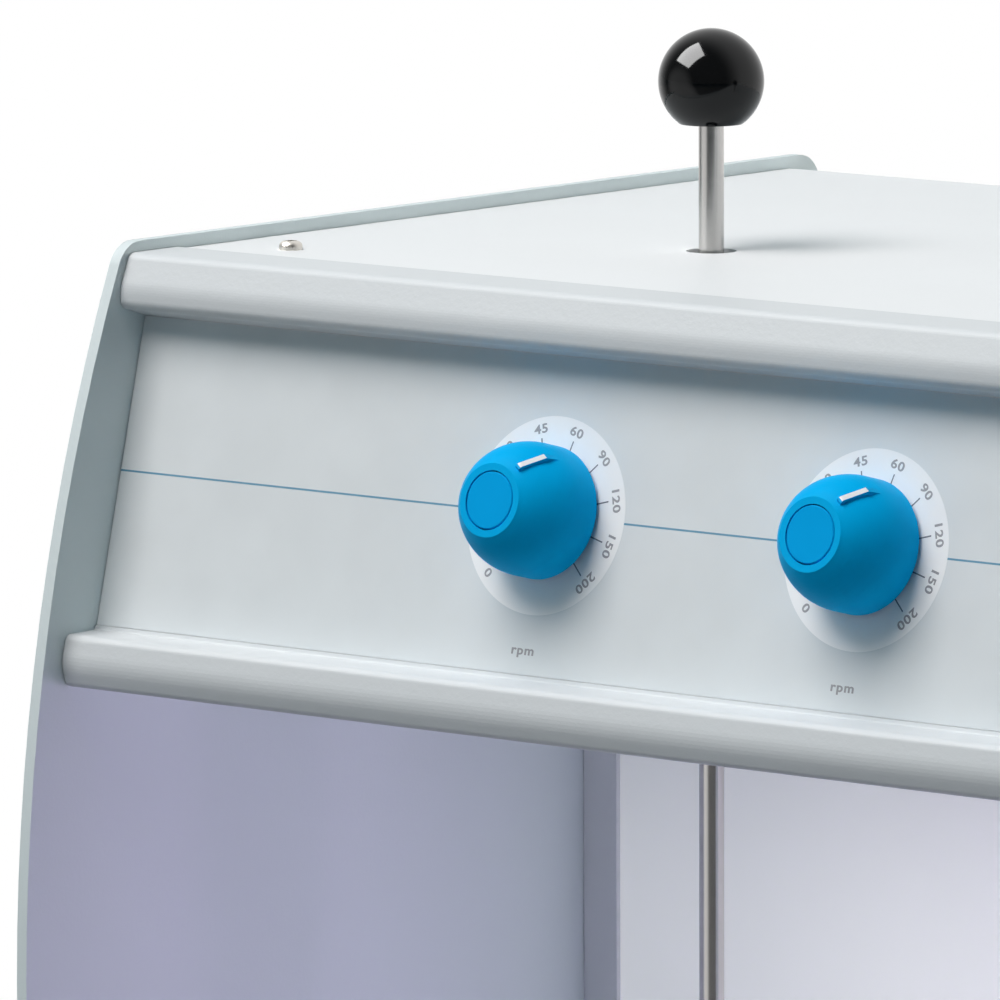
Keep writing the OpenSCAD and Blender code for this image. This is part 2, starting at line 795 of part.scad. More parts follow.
module head_floor() {
    color([0.80, 0.84, 0.85]) difference() {
        union() {
            box([-span_x, floor_front_y, floor_z], [span_x, inner_rear_y, floor_top]);
            for (side = [-1, 1])
                box([side > 0 ? span_x - sheet_t : -span_x, floor_front_y + floor_flange_set, floor_z],
                    [side > 0 ? span_x : -span_x + sheet_t, inner_rear_y, floor_top + floor_flange_h]);
        }
        for (i = [1 : STATIONS])
            at_station(i) translate([0, 0, floor_z - through])
                cylinder(h = head_floor_t + 2 * through, d = bearing_d + 2 * tap_fit, $fn = 64);
    }
}

module drive_plate() {
    end = station_x(STATIONS) + plate_side;
    color([0.70, 0.71, 0.72]) difference() {
        box([-end, row_y - plate_front, drive_z], [end, row_y + plate_rear, drive_top]);
        for (i = [1 : STATIONS]) at_station(i) {
            translate([0, 0, drive_z - through])
                cylinder(h = drive_plate_t + 2 * through, d = bearing_d + 2 * tap_fit, $fn = 64);
            translate([0, motor_set, drive_z - through])
                cylinder(h = drive_plate_t + 2 * through, d = shaft_hole_d, $fn = 48);
        }
        for (p = spacer_places())
            translate([p[0], p[1], drive_z - through])
                cylinder(h = drive_plate_t + 2 * through, d = stud_d + 2 * tap_fit, $fn = 32);
    }
}

module plate_spacers() {
    color([0.80, 0.78, 0.70]) for (p = spacer_places()) translate([p[0], p[1], 0]) {
        translate([0, 0, floor_top]) cylinder(h = drive_space, d = spacer_w, $fn = 6);
        translate([0, 0, drive_z]) cylinder(h = drive_plate_t, d = stud_d, $fn = 32);
        translate([0, 0, drive_top]) cylinder(h = stud_head_h, d = stud_head_d, $fn = 32);
    }
}

// A shielded ball bearing with a flange at its top, standing at height z
module bearing(z) {
    bore = spindle_d / 2 + run_fit;
    rim = bearing_d / 2;
    inner = bore + race_w;
    outer = rim - race_w;
    edge = rim + flange_reach;
    shield_top = bearing_h - race_dip;
    translate([0, 0, z]) rotate_extrude($fn = 96) polygon([
        [bore, 0], [inner, 0], [inner, race_dip], [outer, race_dip], [outer, 0], [rim, 0],
        [rim, bearing_h - flange_t], [edge, bearing_h - flange_t], [edge, bearing_h],
        [outer, bearing_h], [outer, shield_top], [inner, shield_top], [inner, bearing_h],
        [bore, bearing_h]]);
}

module spindle_bearings() {
    color([0.72, 0.73, 0.75]) for (i = [1 : STATIONS]) at_station(i) {
        bearing(low_bearing_z);
        bearing(top_bearing_z);
    }
}

module gear_motors() {
    cap_z = motor_h - motor_cap_h;
    color([0.62, 0.63, 0.65]) for (i = [1 : STATIONS])
        at_station(i) translate([0, motor_set, drive_top]) difference() {
            union() {
                translate([0, 0, -drive_plate_t]) cylinder(h = drive_plate_t, d = motor_boss_d, $fn = 48);
                cylinder(h = gearbox_h, d = motor_d, $fn = 96);
                translate([0, 0, gearbox_h])
                    cylinder(h = cap_z - gearbox_h, d = motor_d - motor_step, $fn = 96);
                translate([0, 0, cap_z]) cylinder(h = motor_cap_h, d = motor_boss_d, $fn = 48);
                for (side = [-1, 1]) translate([side * terminal_set, 0, cap_z])
                    box([-terminal_t / 2, -terminal_w / 2, 0],
                        [terminal_t / 2, terminal_w / 2, terminal_h]);
            }
            translate([0, 0, -drive_plate_t - through])
                cylinder(h = motor_bore + drive_plate_t, d = motor_shaft_d + 2 * run_fit, $fn = 48);
        }
}

// Involute of an angle, in degrees
function involute(angle) = tan(angle) * 180 / PI - angle;

// Half the angle that a tooth takes at radius r
function tooth_half(teeth, r) =
    let (pitch_r = gear_m * teeth / 2, base_r = pitch_r * cos(PRESSURE_ANGLE))
    90 / teeth - backlash / 4 / pitch_r * 180 / PI + involute(PRESSURE_ANGLE)
        - involute(r > base_r ? acos(base_r / r) : 0);

// Outline of an involute gear with a tooth centred on +X
function gear_outline(teeth) =
    let (pitch_r = gear_m * teeth / 2, base_r = pitch_r * cos(PRESSURE_ANGLE))
    let (root_r = pitch_r - 1.25 * gear_m, tip_r = pitch_r + gear_m, start_r = max(root_r, base_r))
    let (radii = [root_r, start_r + 0.02, (start_r + pitch_r) / 2, pitch_r, (pitch_r + tip_r) / 2, tip_r])
    [for (k = [0 : teeth - 1])
        each [for (side = [-1, 1], j = [0 : 5])
            let (r = radii[side < 0 ? j : 5 - j], a = 360 * k / teeth + side * tooth_half(teeth, r))
            r * [cos(a), sin(a)]]];

// Hollow spindle: chuck below the floor, gear between the bearings, ring above
module spindle(i) {
    shaft = spindle_d / 2;
    chuck = chuck_d / 2;
    chuck_top = chuck_z + chuck_h;
    groove_top = chuck_top - chuck_groove_top;
    groove_low = groove_top - chuck_groove_h;
    hub = shaft + hub_wall;
    hub_low = floor_top + flange_t + hub_gap;
    hub_top = gear_z + gear_t + hub_rise;
    ring = shaft + ring_w;
    ring_low = drive_top + flange_t + hub_gap;
    color([0.78, 0.79, 0.80]) at_station(i) difference() {
        union() {
            rotate_extrude($fn = 96) polygon([
                [0, chuck_z], [chuck - chuck_nose_w, chuck_z], [chuck, chuck_z + chuck_nose_h],
                [chuck, groove_low], [chuck - chuck_groove, groove_low + chuck_groove_bevel],
                [chuck - chuck_groove, groove_top - chuck_groove_bevel], [chuck, groove_top],
                [chuck, chuck_top], [shaft, chuck_top],
                [shaft, hub_low], [hub, hub_low], [hub, hub_top], [shaft, hub_top],
                [shaft, ring_low], [ring, ring_low], [ring, ring_low + ring_t],
                [shaft, ring_low + ring_t], [shaft, spindle_top - spindle_bevel],
                [shaft - spindle_bevel, spindle_top], [0, spindle_top]]);
            translate([0, 0, gear_z]) linear_extrude(gear_t) polygon(gear_outline(GEAR_TEETH));
        }
        translate([0, 0, chuck_z - through])
            cylinder(h = spindle_top - chuck_z + 2 * through, d = rod_d + 2 * run_fit, $fn = 64);
    }
}

module pinion(i) {
    color([0.93, 0.92, 0.88]) at_station(i) translate([0, motor_set, gear_z]) {
        rotate([0, 0, 180 / PINION_TEETH]) linear_extrude(gear_t) polygon(gear_outline(PINION_TEETH));
        translate([0, 0, gear_t]) cylinder(h = pinion_collar_h, d = pinion_collar_d, $fn = 48);
        cylinder(h = drive_top - gear_z + motor_shaft_reach, d = motor_shaft_d, $fn = 48);
    }
}

// ---- Rods ---------------------------------------------------------------

module rod(i) {
    color([0.74, 0.75, 0.76]) at_station(i)
        translate([0, 0, rod_foot]) cylinder(h = rod_top - rod_foot, d = rod_d, $fn = 64);
}

module ball(i) {
    color([0.05, 0.05, 0.06]) at_station(i) translate([0, 0, ball_z]) difference() {
        sphere(ball_d / 2, $fn = 96);
        box([-ball_d, -ball_d, -ball_d], [ball_d, ball_d, -ball_flat]);
        translate([0, 0, -ball_d]) cylinder(h = ball_d, d = rod_d + 2 * tap_fit, $fn = 64);
    }
}

module paddle(i) {
    color([0.76, 0.77, 0.78]) at_station(i) translate([0, 0, bay_floor + paddle_lift]) difference() {
        union() {
            box([-paddle_w / 2, -paddle_t / 2, 0], [paddle_w / 2, paddle_t / 2, paddle_h]);
            cylinder(h = paddle_h, d = hub_d, $fn = 64);
        }
        translate([0, 0, rod_seat]) cylinder(h = paddle_h, d = rod_d + 2 * tap_fit, $fn = 64);
    }
}

// ---- Bay, light and base ------------------------------------------------

module back_wall() {
    color([0.80, 0.84, 0.85]) difference() {
        box([-span_x, back_wall_y, bay_floor - tray_step], [span_x, back_wall_y + sheet_t, floor_z]);
        box([-window_x, back_wall_y - through, window_low],
            [window_x, back_wall_y + sheet_t + through, window_high]);
    }
}

module light_diffuser() {
    front = back_wall_y + sheet_t;
    color([0.95, 0.95, 0.97])
        box([-window_x - diffuser_lap, front, window_low - diffuser_lap],
            [window_x + diffuser_lap, front + diffuser_t, window_high + diffuser_lap]);
}

module lamp_tubes() {
    color([0.96, 0.97, 0.98]) for (side = [-1, 1])
        translate([0, lamp_y, lamp_mid_z + side * tube_space / 2]) rotate([0, 90, 0]) {
            cylinder(h = 2 * tube_reach, d = tube_d, center = true, $fn = 64);
            for (pin = [-1, 1])
                translate([0, pin * tube_pin_set, 0])
                    cylinder(h = 2 * (tube_reach + tube_pin_reach), d = tube_pin_d,
                        center = true, $fn = 24);
        }
}

module lamp_holders() {
    color([0.92, 0.92, 0.92]) for (side = [-1, 1], up = [-1, 1])
        translate([side * (tube_reach + holder_t / 2), 0, lamp_mid_z + up * tube_space / 2]) difference() {
            union() {
                rotate([0, 90, 0]) translate([0, lamp_y, 0])
                    cylinder(h = holder_t, d = tube_d + 2 * holder_wall, center = true, $fn = 64);
                box([-holder_t / 2, lamp_y, -tube_d / 2 - holder_wall],
                    [holder_t / 2, inner_rear_y, tube_d / 2 + holder_wall]);
            }
            box([-holder_t, lamp_y - tube_d, -holder_slot_h / 2],
                [holder_t, lamp_y + holder_slot_depth, holder_slot_h / 2]);
        }
}

// Folded tray: the bay's floor, and a lower step behind the rear wall's foot
module base_tray() {
    step_z = bay_floor - tray_step;
    inner_low = [-span_x + sheet_t, tray_front_y + sheet_t, foot_h + sheet_t];
    color([0.84, 0.87, 0.88]) difference() {
        union() {
            box([-span_x, tray_front_y, foot_h], [span_x, back_wall_y, bay_floor]);
            box([-span_x, back_wall_y, foot_h], [span_x, inner_rear_y, step_z]);
        }
        box(inner_low, [span_x - sheet_t, back_wall_y - sheet_t, bay_floor - sheet_t]);
        box(inner_low, [span_x - sheet_t, inner_rear_y - sheet_t, step_z - sheet_t]);
        box([-span_x + tray_lip, tray_front_y + tray_lip, foot_h - through],
            [span_x - tray_lip, inner_rear_y - tray_lip, foot_h + sheet_t + through]);
        for (p = foot_screw_places())
            translate([p[0], inner_rear_y - sheet_t - through, p[1]]) rotate([-90, 0, 0])
                cylinder(h = sheet_t + 2 * through, d = screw_d + 2 * tap_fit, $fn = 32);
    }
}

module feet() {
    set = foot_d / 2 + foot_margin;
    color([0.08, 0.08, 0.08])
        for (x = [-half_in + set, half_in - set], y = [tray_front_y + set, inner_rear_y - set])
            translate([x, y, 0]) difference() {
                cylinder(h = foot_h, d1 = foot_d - foot_taper, d2 = foot_d, $fn = 64);
                translate([0, 0, -through]) cylinder(h = foot_bore_h + through, d = foot_bore_d, $fn = 32);
            }
}

// ---- Rear and fasteners -------------------------------------------------

module power_supply() {
    front = row_y + plate_rear + supply_gap;
    rear = inner_rear_y - supply_gap;
    winding_low = front + supply_inset;
    winding_high = rear - supply_inset;
    color([0.55, 0.56, 0.58]) translate([supply_x, 0, floor_top]) {
        box([0, front, 0], [supply_w, rear, supply_plate_t]);
        translate([winding_x, 0, supply_plate_t]) {
            box([0, winding_low, 0], [winding_w, winding_high, winding_h]);
            box([core_inset, front, core_lift], [winding_w - core_inset, rear, core_lift + core_h]);
        }
        translate([ballast_x, 0, supply_plate_t])
            box([0, winding_low, 0], [ballast_w, winding_high, ballast_h]);
    }
}

module mains_inlet() {
    face = rear_cover_y + inlet_flange_t;
    rim_x = inlet_w / 2 + inlet_flange_w;
    rim_z = inlet_h / 2 + inlet_flange_w;
    pin_low = face - socket_depth - through;
    drawer_x = drawer_w / 2 - fit_gap;
    drawer_z = drawer_h / 2 - fit_gap;
    color([0.08, 0.08, 0.09]) translate([inlet_x, 0, inlet_z]) {
        difference() {
            union() {
                box([-rim_x, rear_cover_y, -rim_z], [rim_x, face, rim_z]);
                box([-inlet_w / 2, rear_cover_y - inlet_depth, -inlet_h / 2],
                    [inlet_w / 2, rear_cover_y, inlet_h / 2]);
            }
            translate([0, 0, socket_rise]) box([-socket_w / 2, face - socket_depth, -socket_h / 2],
                [socket_w / 2, face + through, socket_h / 2]);
            translate([0, 0, -drawer_drop]) box([-drawer_w / 2, face - drawer_depth, -drawer_h / 2],
                [drawer_w / 2, face + through, drawer_h / 2]);
        }
        for (p = socket_pins) translate([p[0], 0, socket_rise + p[1]])
            box([-socket_pin_w / 2, pin_low, -socket_pin_h / 2],
                [socket_pin_w / 2, face - socket_pin_set, socket_pin_h / 2]);
        translate([0, 0, -drawer_drop]) difference() {
            box([-drawer_x, face - drawer_depth, -drawer_z], [drawer_x, face, drawer_z]);
            box([-grip_w / 2, face - grip_depth, grip_rise],
                [grip_w / 2, face + through, grip_rise + grip_h]);
        }
    }
}

// A pan-head screw with a cross recess, head up, its seat at z = 0
module pan_screw(reach) {
    r = screw_head_d / 2;
    difference() {
        union() {
            rotate_extrude($fn = 48) polygon(concat([[0, 0], [r, 0]],
                [for (k = [0 : 6]) [r * (0.45 + 0.55 * cos(15 * k)),
                    screw_head_h * (0.35 + 0.65 * sin(15 * k))]],
                [[0, screw_head_h]]));
            translate([0, 0, -reach]) cylinder(h = reach + screw_head_h / 4, d = screw_d, $fn = 32);
        }
        for (turn = [0, 90]) rotate([0, 0, turn + screw_slot_turn])
            box([-screw_slot_w / 2, -screw_slot_l / 2, screw_head_h - screw_slot_depth],
                [screw_slot_w / 2, screw_slot_l / 2, screw_head_h + through]);
    }
}

module cover_screws() {
    color([0.72, 0.70, 0.66]) {
        for (p = cover_screw_places())
            translate([p[0], p[1], cover_z]) pan_screw(sheet_t + rail_wall + screw_reach);
        for (p = flange_screw_places())
            translate([p[0], rear_face_y, p[1]]) rotate([-90, 0, 0]) pan_screw(2 * sheet_t + screw_reach);
        for (p = foot_screw_places())
            translate([p[0], rear_cover_y, p[1]]) rotate([-90, 0, 0]) pan_screw(2 * sheet_t + screw_reach);
    }
}

// ---- Nodes --------------------------------------------------------------

side_panel(-half_in - side_t);  // side_panel_left
side_panel(half_in);  // side_panel_right
top_cover();
rear_cover();
upper_front_rail();
lower_front_rail();
control_panel();
panel_overlay();
head_floor();
drive_plate();
plate_spacers();
spindle_bearings();
gear_motors();
potentiometers();
control_board();
power_supply();
mains_inlet();
switch_frames();
back_wall();
light_diffuser();
lamp_tubes();
lamp_holders();
base_tray();
base_front_rail();
feet();
cover_screws();
rocker(switch_places()[0], [0.12, 0.55, 0.22]);  // mains_rocker
rocker(switch_places()[1], [0.12, 0.12, 0.13]);  // lamp_rocker
knob(1);  // knob_1
knob(2);  // knob_2
knob(3);  // knob_3
knob(4);  // knob_4
knob_cap(1);  // knob_cap_1
knob_cap(2);  // knob_cap_2
knob_cap(3);  // knob_cap_3
knob_cap(4);  // knob_cap_4
control_shaft(1);  // control_shaft_1
control_shaft(2);  // control_shaft_2
control_shaft(3);  // control_shaft_3
control_shaft(4);  // control_shaft_4
spindle(1);  // spindle_1
spindle(2);  // spindle_2
spindle(3);  // spindle_3
spindle(4);  // spindle_4
pinion(1);  // pinion_1
pinion(2);  // pinion_2
pinion(3);  // pinion_3
pinion(4);  // pinion_4
rod(1);  // rod_1
rod(2);  // rod_2
rod(3);  // rod_3
rod(4);  // rod_4
ball(1);  // ball_1
ball(2);  // ball_2
ball(3);  // ball_3
ball(4);  // ball_4
paddle(1);  // paddle_1
paddle(2);  // paddle_2
paddle(3);  // paddle_3
paddle(4);  // paddle_4
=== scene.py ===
"""A four-place jar tester on a pale studio floor, seen at the photograph's angle.

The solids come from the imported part. This file gives each of them its finish, prints the
control panel, marks the switches and pointers, and sets the camera, the lamps and the floor.
"""

import json
import logging
import math
from collections.abc import Sequence
from dataclasses import dataclass, field
from enum import Enum
from functools import reduce

import bmesh
import bpy
import numpy as np
from mathutils import Matrix, Vector


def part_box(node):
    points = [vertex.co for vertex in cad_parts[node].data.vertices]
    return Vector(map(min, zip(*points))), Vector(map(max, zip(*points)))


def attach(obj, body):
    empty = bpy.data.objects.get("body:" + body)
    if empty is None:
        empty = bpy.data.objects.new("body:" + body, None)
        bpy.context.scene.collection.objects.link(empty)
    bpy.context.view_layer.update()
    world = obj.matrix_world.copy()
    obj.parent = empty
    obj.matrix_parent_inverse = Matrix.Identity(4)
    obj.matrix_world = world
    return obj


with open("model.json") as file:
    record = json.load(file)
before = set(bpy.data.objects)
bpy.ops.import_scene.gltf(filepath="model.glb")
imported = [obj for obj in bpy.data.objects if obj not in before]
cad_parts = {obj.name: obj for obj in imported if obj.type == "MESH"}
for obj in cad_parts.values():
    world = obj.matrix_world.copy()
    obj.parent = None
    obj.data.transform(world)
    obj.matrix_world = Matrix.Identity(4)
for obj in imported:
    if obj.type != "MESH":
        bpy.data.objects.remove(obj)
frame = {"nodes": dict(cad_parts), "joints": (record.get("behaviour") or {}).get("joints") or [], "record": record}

log = logging.getLogger("jar_tester")

MM = 0.001
PLACES = range(1, 5)  # The four stirring places, each with its knob.
WELD = 1e-7  # Points that lie closer than this, in metres, are one.

Colour = tuple[float, float, float]
Socket = bpy.types.NodeSocket
Value = float | Socket


# ---- Small helpers ---------------------------------------------------------


def srgb(red: float, green: float, blue: float) -> Colour:
    """Turns a colour as a screen shows it into the linear colour that a shader takes.

    Args:
        red: Red from 0 to 255.
        green: Green from 0 to 255.
        blue: Blue from 0 to 255.

    Returns:
        The linear red, green and blue.
    """
    part = np.array([red, green, blue], float) / 255
    linear = np.where(part <= 0.04045, part / 12.92, ((part + 0.055) / 1.055) ** 2.4)
    return tuple(float(x) for x in linear)


def joint(name: str) -> dict:
    """The joint of that name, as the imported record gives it."""
    return next(j for j in frame["joints"] if j["name"] == name)


def joint_x(name: str) -> float:
    """Where a joint lies along the panel, in metres."""
    return float(joint(name)["pos_m"][0])


def grid_quads(rows: int, columns: int, closed: bool = False) -> np.ndarray:
    """Quads over a grid of points, in which point (i, j) has the number i x columns + j.

    Args:
        rows: Points along the first parameter.
        columns: Points round the second parameter, which always closes on itself.
        closed: True where the first parameter closes on itself too.

    Returns:
        One row of four point numbers per quad.
    """
    i, j = np.meshgrid(np.arange(rows if closed else rows - 1), np.arange(columns), indexing="ij")
    a, b = i.ravel(), (i.ravel() + 1) % rows
    c, d = j.ravel(), (j.ravel() + 1) % columns
    return np.stack([a * columns + c, a * columns + d, b * columns + d, b * columns + c], axis=1)


@dataclass
class Shell:
    """A piece that is being made.

    Attributes:
        points: One row of X, Y and Z per point.
        faces: The point numbers round each face.
    """

    points: np.ndarray
    faces: list[list[int]]

    def joined(self, other: "Shell") -> "Shell":
        """Both shells as one.

        Args:
            other: The shell to put after this one.

        Returns:
            The points and faces of both.
        """
        shift = len(self.points)
        moved = [[n + shift for n in face] for face in other.faces]
        return Shell(np.vstack([self.points, other.points]), self.faces + moved)

    def piece(self, name: str, body: str, slot: str, ink: bpy.types.Material) -> None:
        """Makes the shell a piece that rides on a body, at the origin with its place in its mesh.

        Args:
            name: The piece's name.
            body: The body that it moves with.
            slot: The record's material slot; not used.
            ink: Its material.
        """
        mesh = bpy.data.meshes.new(name)
        mesh.from_pydata(self.points.tolist(), [], self.faces)
        work = bmesh.new()
        work.from_mesh(mesh)
        bmesh.ops.remove_doubles(work, verts=work.verts, dist=WELD)
        bmesh.ops.recalc_face_normals(work, faces=work.faces)
        work.to_mesh(mesh)
        work.free()
        mesh.materials.append(ink)
        obj = bpy.data.objects.new(name, mesh)
        bpy.context.scene.collection.objects.link(obj)
        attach(obj, body)
        log.info("%s: %d faces", name, len(mesh.polygons))


def turned_ring(profile: np.ndarray, steps: int) -> Shell:
    """A closed profile of radius and height, carried once round the axis.

    Args:
        profile: Rows of radius and height, in order round the section.
        steps: Points round the axis.

    Returns:
        Points (r cos t, r sin t, h) and the quads between them.
    """
    t = np.linspace(0, 2 * math.pi, steps, endpoint=False)
    r, h = profile[:, 0][:, None], profile[:, 1][:, None]
    points = np.stack([r * np.cos(t), r * np.sin(t), h + 0 * t], axis=2).reshape(-1, 3)
    return Shell(points, grid_quads(len(profile), steps, closed=True).tolist())


def blocks(low: np.ndarray, high: np.ndarray) -> Shell:
    """Boxes, all worked out at once: each corner is low + unit corner x (high - low).

    Args:
        low: Lowest corners, one row per box.
        high: Highest corners, one row per box.

    Returns:
        The boxes as one shell.
    """
    unit = np.array([[x, y, z] for z in (0, 1) for y in (0, 1) for x in (0, 1)], float)
    points = (low[:, None, :] + unit[None] * (high - low)[:, None, :]).reshape(-1, 3)
    quads = np.array(
        [[0, 2, 3, 1], [4, 5, 7, 6], [0, 1, 5, 4], [2, 6, 7, 3], [0, 4, 6, 2], [1, 3, 7, 5]]
    )
    faces = (quads[None] + 8 * np.arange(len(low))[:, None, None]).reshape(-1, 4)
    return Shell(points, faces.tolist())


def lettering(
    words: str, size: float, spacing: float, depth: float, wide: float = 1.28, bold: float = 0.024
) -> Shell:
    """Letters as a thin closed solid, centred on the origin and standing on z = 0.

    Args:
        words: What is written.
        size: Size of the letters, in metres.
        spacing: Space between letters, 1 being the font's own.
        depth: Thickness of the letters, in metres.
        wide: Width of the letters, 1 being the font's own.
        bold: How far the strokes grow on each side, as a share of the size.

    Returns:
        The letters' points and faces.
    """
    curve = bpy.data.curves.new("lettering", "FONT")
    curve.body = words
    curve.size = size
    curve.space_character = spacing
    curve.align_x = "CENTER"
    curve.align_y = "CENTER"
    curve.extrude = depth / 2
    curve.offset = size * bold
    curve.resolution_u = 6
    obj = bpy.data.objects.new("lettering", curve)
    bpy.context.scene.collection.objects.link(obj)
    bpy.context.view_layer.update()
    seen = obj.evaluated_get(bpy.context.evaluated_depsgraph_get())
    mesh = bpy.data.meshes.new_from_object(seen)
    points = np.empty(len(mesh.vertices) * 3)
    mesh.vertices.foreach_get("co", points)
    points = points.reshape(-1, 3)
    points[:, 0] *= wide
    points[:, 2] += depth / 2
    faces = [list(face.vertices) for face in mesh.polygons]
    bpy.data.objects.remove(obj)
    bpy.data.meshes.remove(mesh)
    bpy.data.curves.remove(curve)
    return Shell(points, faces)


# ---- Shader helpers --------------------------------------------------------


class Curve(Enum):
    """How a number goes from one level to another."""

    STRAIGHT = "LINEAR"
    SMOOTH = "SMOOTHSTEP"
    SMOOTHER = "SMOOTHERSTEP"


class Graph:
    """A node tree that is filled one node at a time.

    A Mix node has sockets of the same name for each kind of data, so those for colours are
    kept by number.
    """

    MIX_SHARE, MIX_LOW, MIX_HIGH, MIX_COLOUR = 0, 6, 7, 2

    def __init__(self, tree: bpy.types.NodeTree) -> None:
        """Takes over a tree, empty of nodes."""
        self.tree = tree
        tree.nodes.clear()

    def fill(self, node: bpy.types.Node, inputs: dict[str | int, object]) -> None:
        """Gives a node's inputs their values.

        Args:
            node: The node.
            inputs: A value or an output socket for each input, by name or number.
        """
        for key, value in inputs.items():
            socket = node.inputs[key]
            if isinstance(value, Socket):
                self.tree.links.new(value, socket)
            else:
                socket.default_value = value

    def add(
        self, kind: str, inputs: dict[str | int, object] | None = None, **settings: object
    ) -> bpy.types.Node:
        """Adds a node.

        Args:
            kind: Blender's name of the node type.
            inputs: A value or an output socket for each input, by name or number.
            settings: Properties of the node.

        Returns:
            The new node.
        """
        node = self.tree.nodes.new(kind)
        for key, value in settings.items():
            setattr(node, key, value)
        self.fill(node, inputs or {})
        return node

    def math(self, operation: str, *values: Value) -> Socket:
        """The result of a Math node on one to three numbers."""
        return self.add("ShaderNodeMath", dict(enumerate(values)), operation=operation).outputs[0]

    def split(self, vector: Socket) -> Sequence[Socket]:
        """The X, Y and Z of a vector."""
        return self.add("ShaderNodeSeparateXYZ", {0: vector}).outputs

    def noise(self, place: Socket, scale: Value, detail: float, roughness: float = 0.5) -> Socket:
        """Noise with values round a half.

        Args:
            place: The coordinates.
            scale: How many waves there are to the coordinates' unit.
            detail: How many times finer waves are added.
            roughness: How strong the finer waves are.

        Returns:
            The noise at each point.
        """
        inputs = {"Vector": place, "Scale": scale, "Detail": detail, "Roughness": roughness}
        return self.add("ShaderNodeTexNoise", inputs).outputs[0]

    def remap(
        self,
        value: Socket,
        ends: tuple[float, float],
        levels: tuple[float, float] = (0.0, 1.0),
        curve: Curve = Curve.STRAIGHT,
    ) -> Socket:
        """A number that goes from one level to the other as the value goes from end to end.

        Args:
            value: The value.
            ends: The values at which the number starts and stops changing.
            levels: The number at and before the first end, and at and past the second.
            curve: How it goes between them.

        Returns:
            The number at each point.
        """
        inputs = {
            "Value": value,
            "From Min": ends[0],
            "From Max": ends[1],
            "To Min": levels[0],
            "To Max": levels[1],
        }
        return self.add("ShaderNodeMapRange", inputs, interpolation_type=curve.value).outputs[0]

    def span(self, mask: Socket, low: float, high: float) -> Socket:
        """A number that goes from low to high as the mask goes from 0 to 1."""
        return self.remap(mask, (0.0, 1.0), (low, high))

    def mixed(self, mask: Socket, low: Socket | Colour, high: Colour) -> Socket:
        """A colour that goes from low to high as the mask goes from 0 to 1.

        Args:
            mask: The share of high.
            low: The colour where the mask is 0, or its socket.
            high: The colour where the mask is 1.

        Returns:
            The colour at each point.
        """
        first = low if isinstance(low, Socket) else (*low, 1.0)
        inputs = {self.MIX_SHARE: mask, self.MIX_LOW: first, self.MIX_HIGH: (*high, 1.0)}
        return self.add("ShaderNodeMix", inputs, data_type="RGBA").outputs[self.MIX_COLOUR]


class Effect(Enum):
    """The surface effects that several finishes share."""

    PEBBLE = "pebbled coat"
    SKIN = "moulded skin"
    GRAIN = "drawn grain"
    DUST = "settled dust"


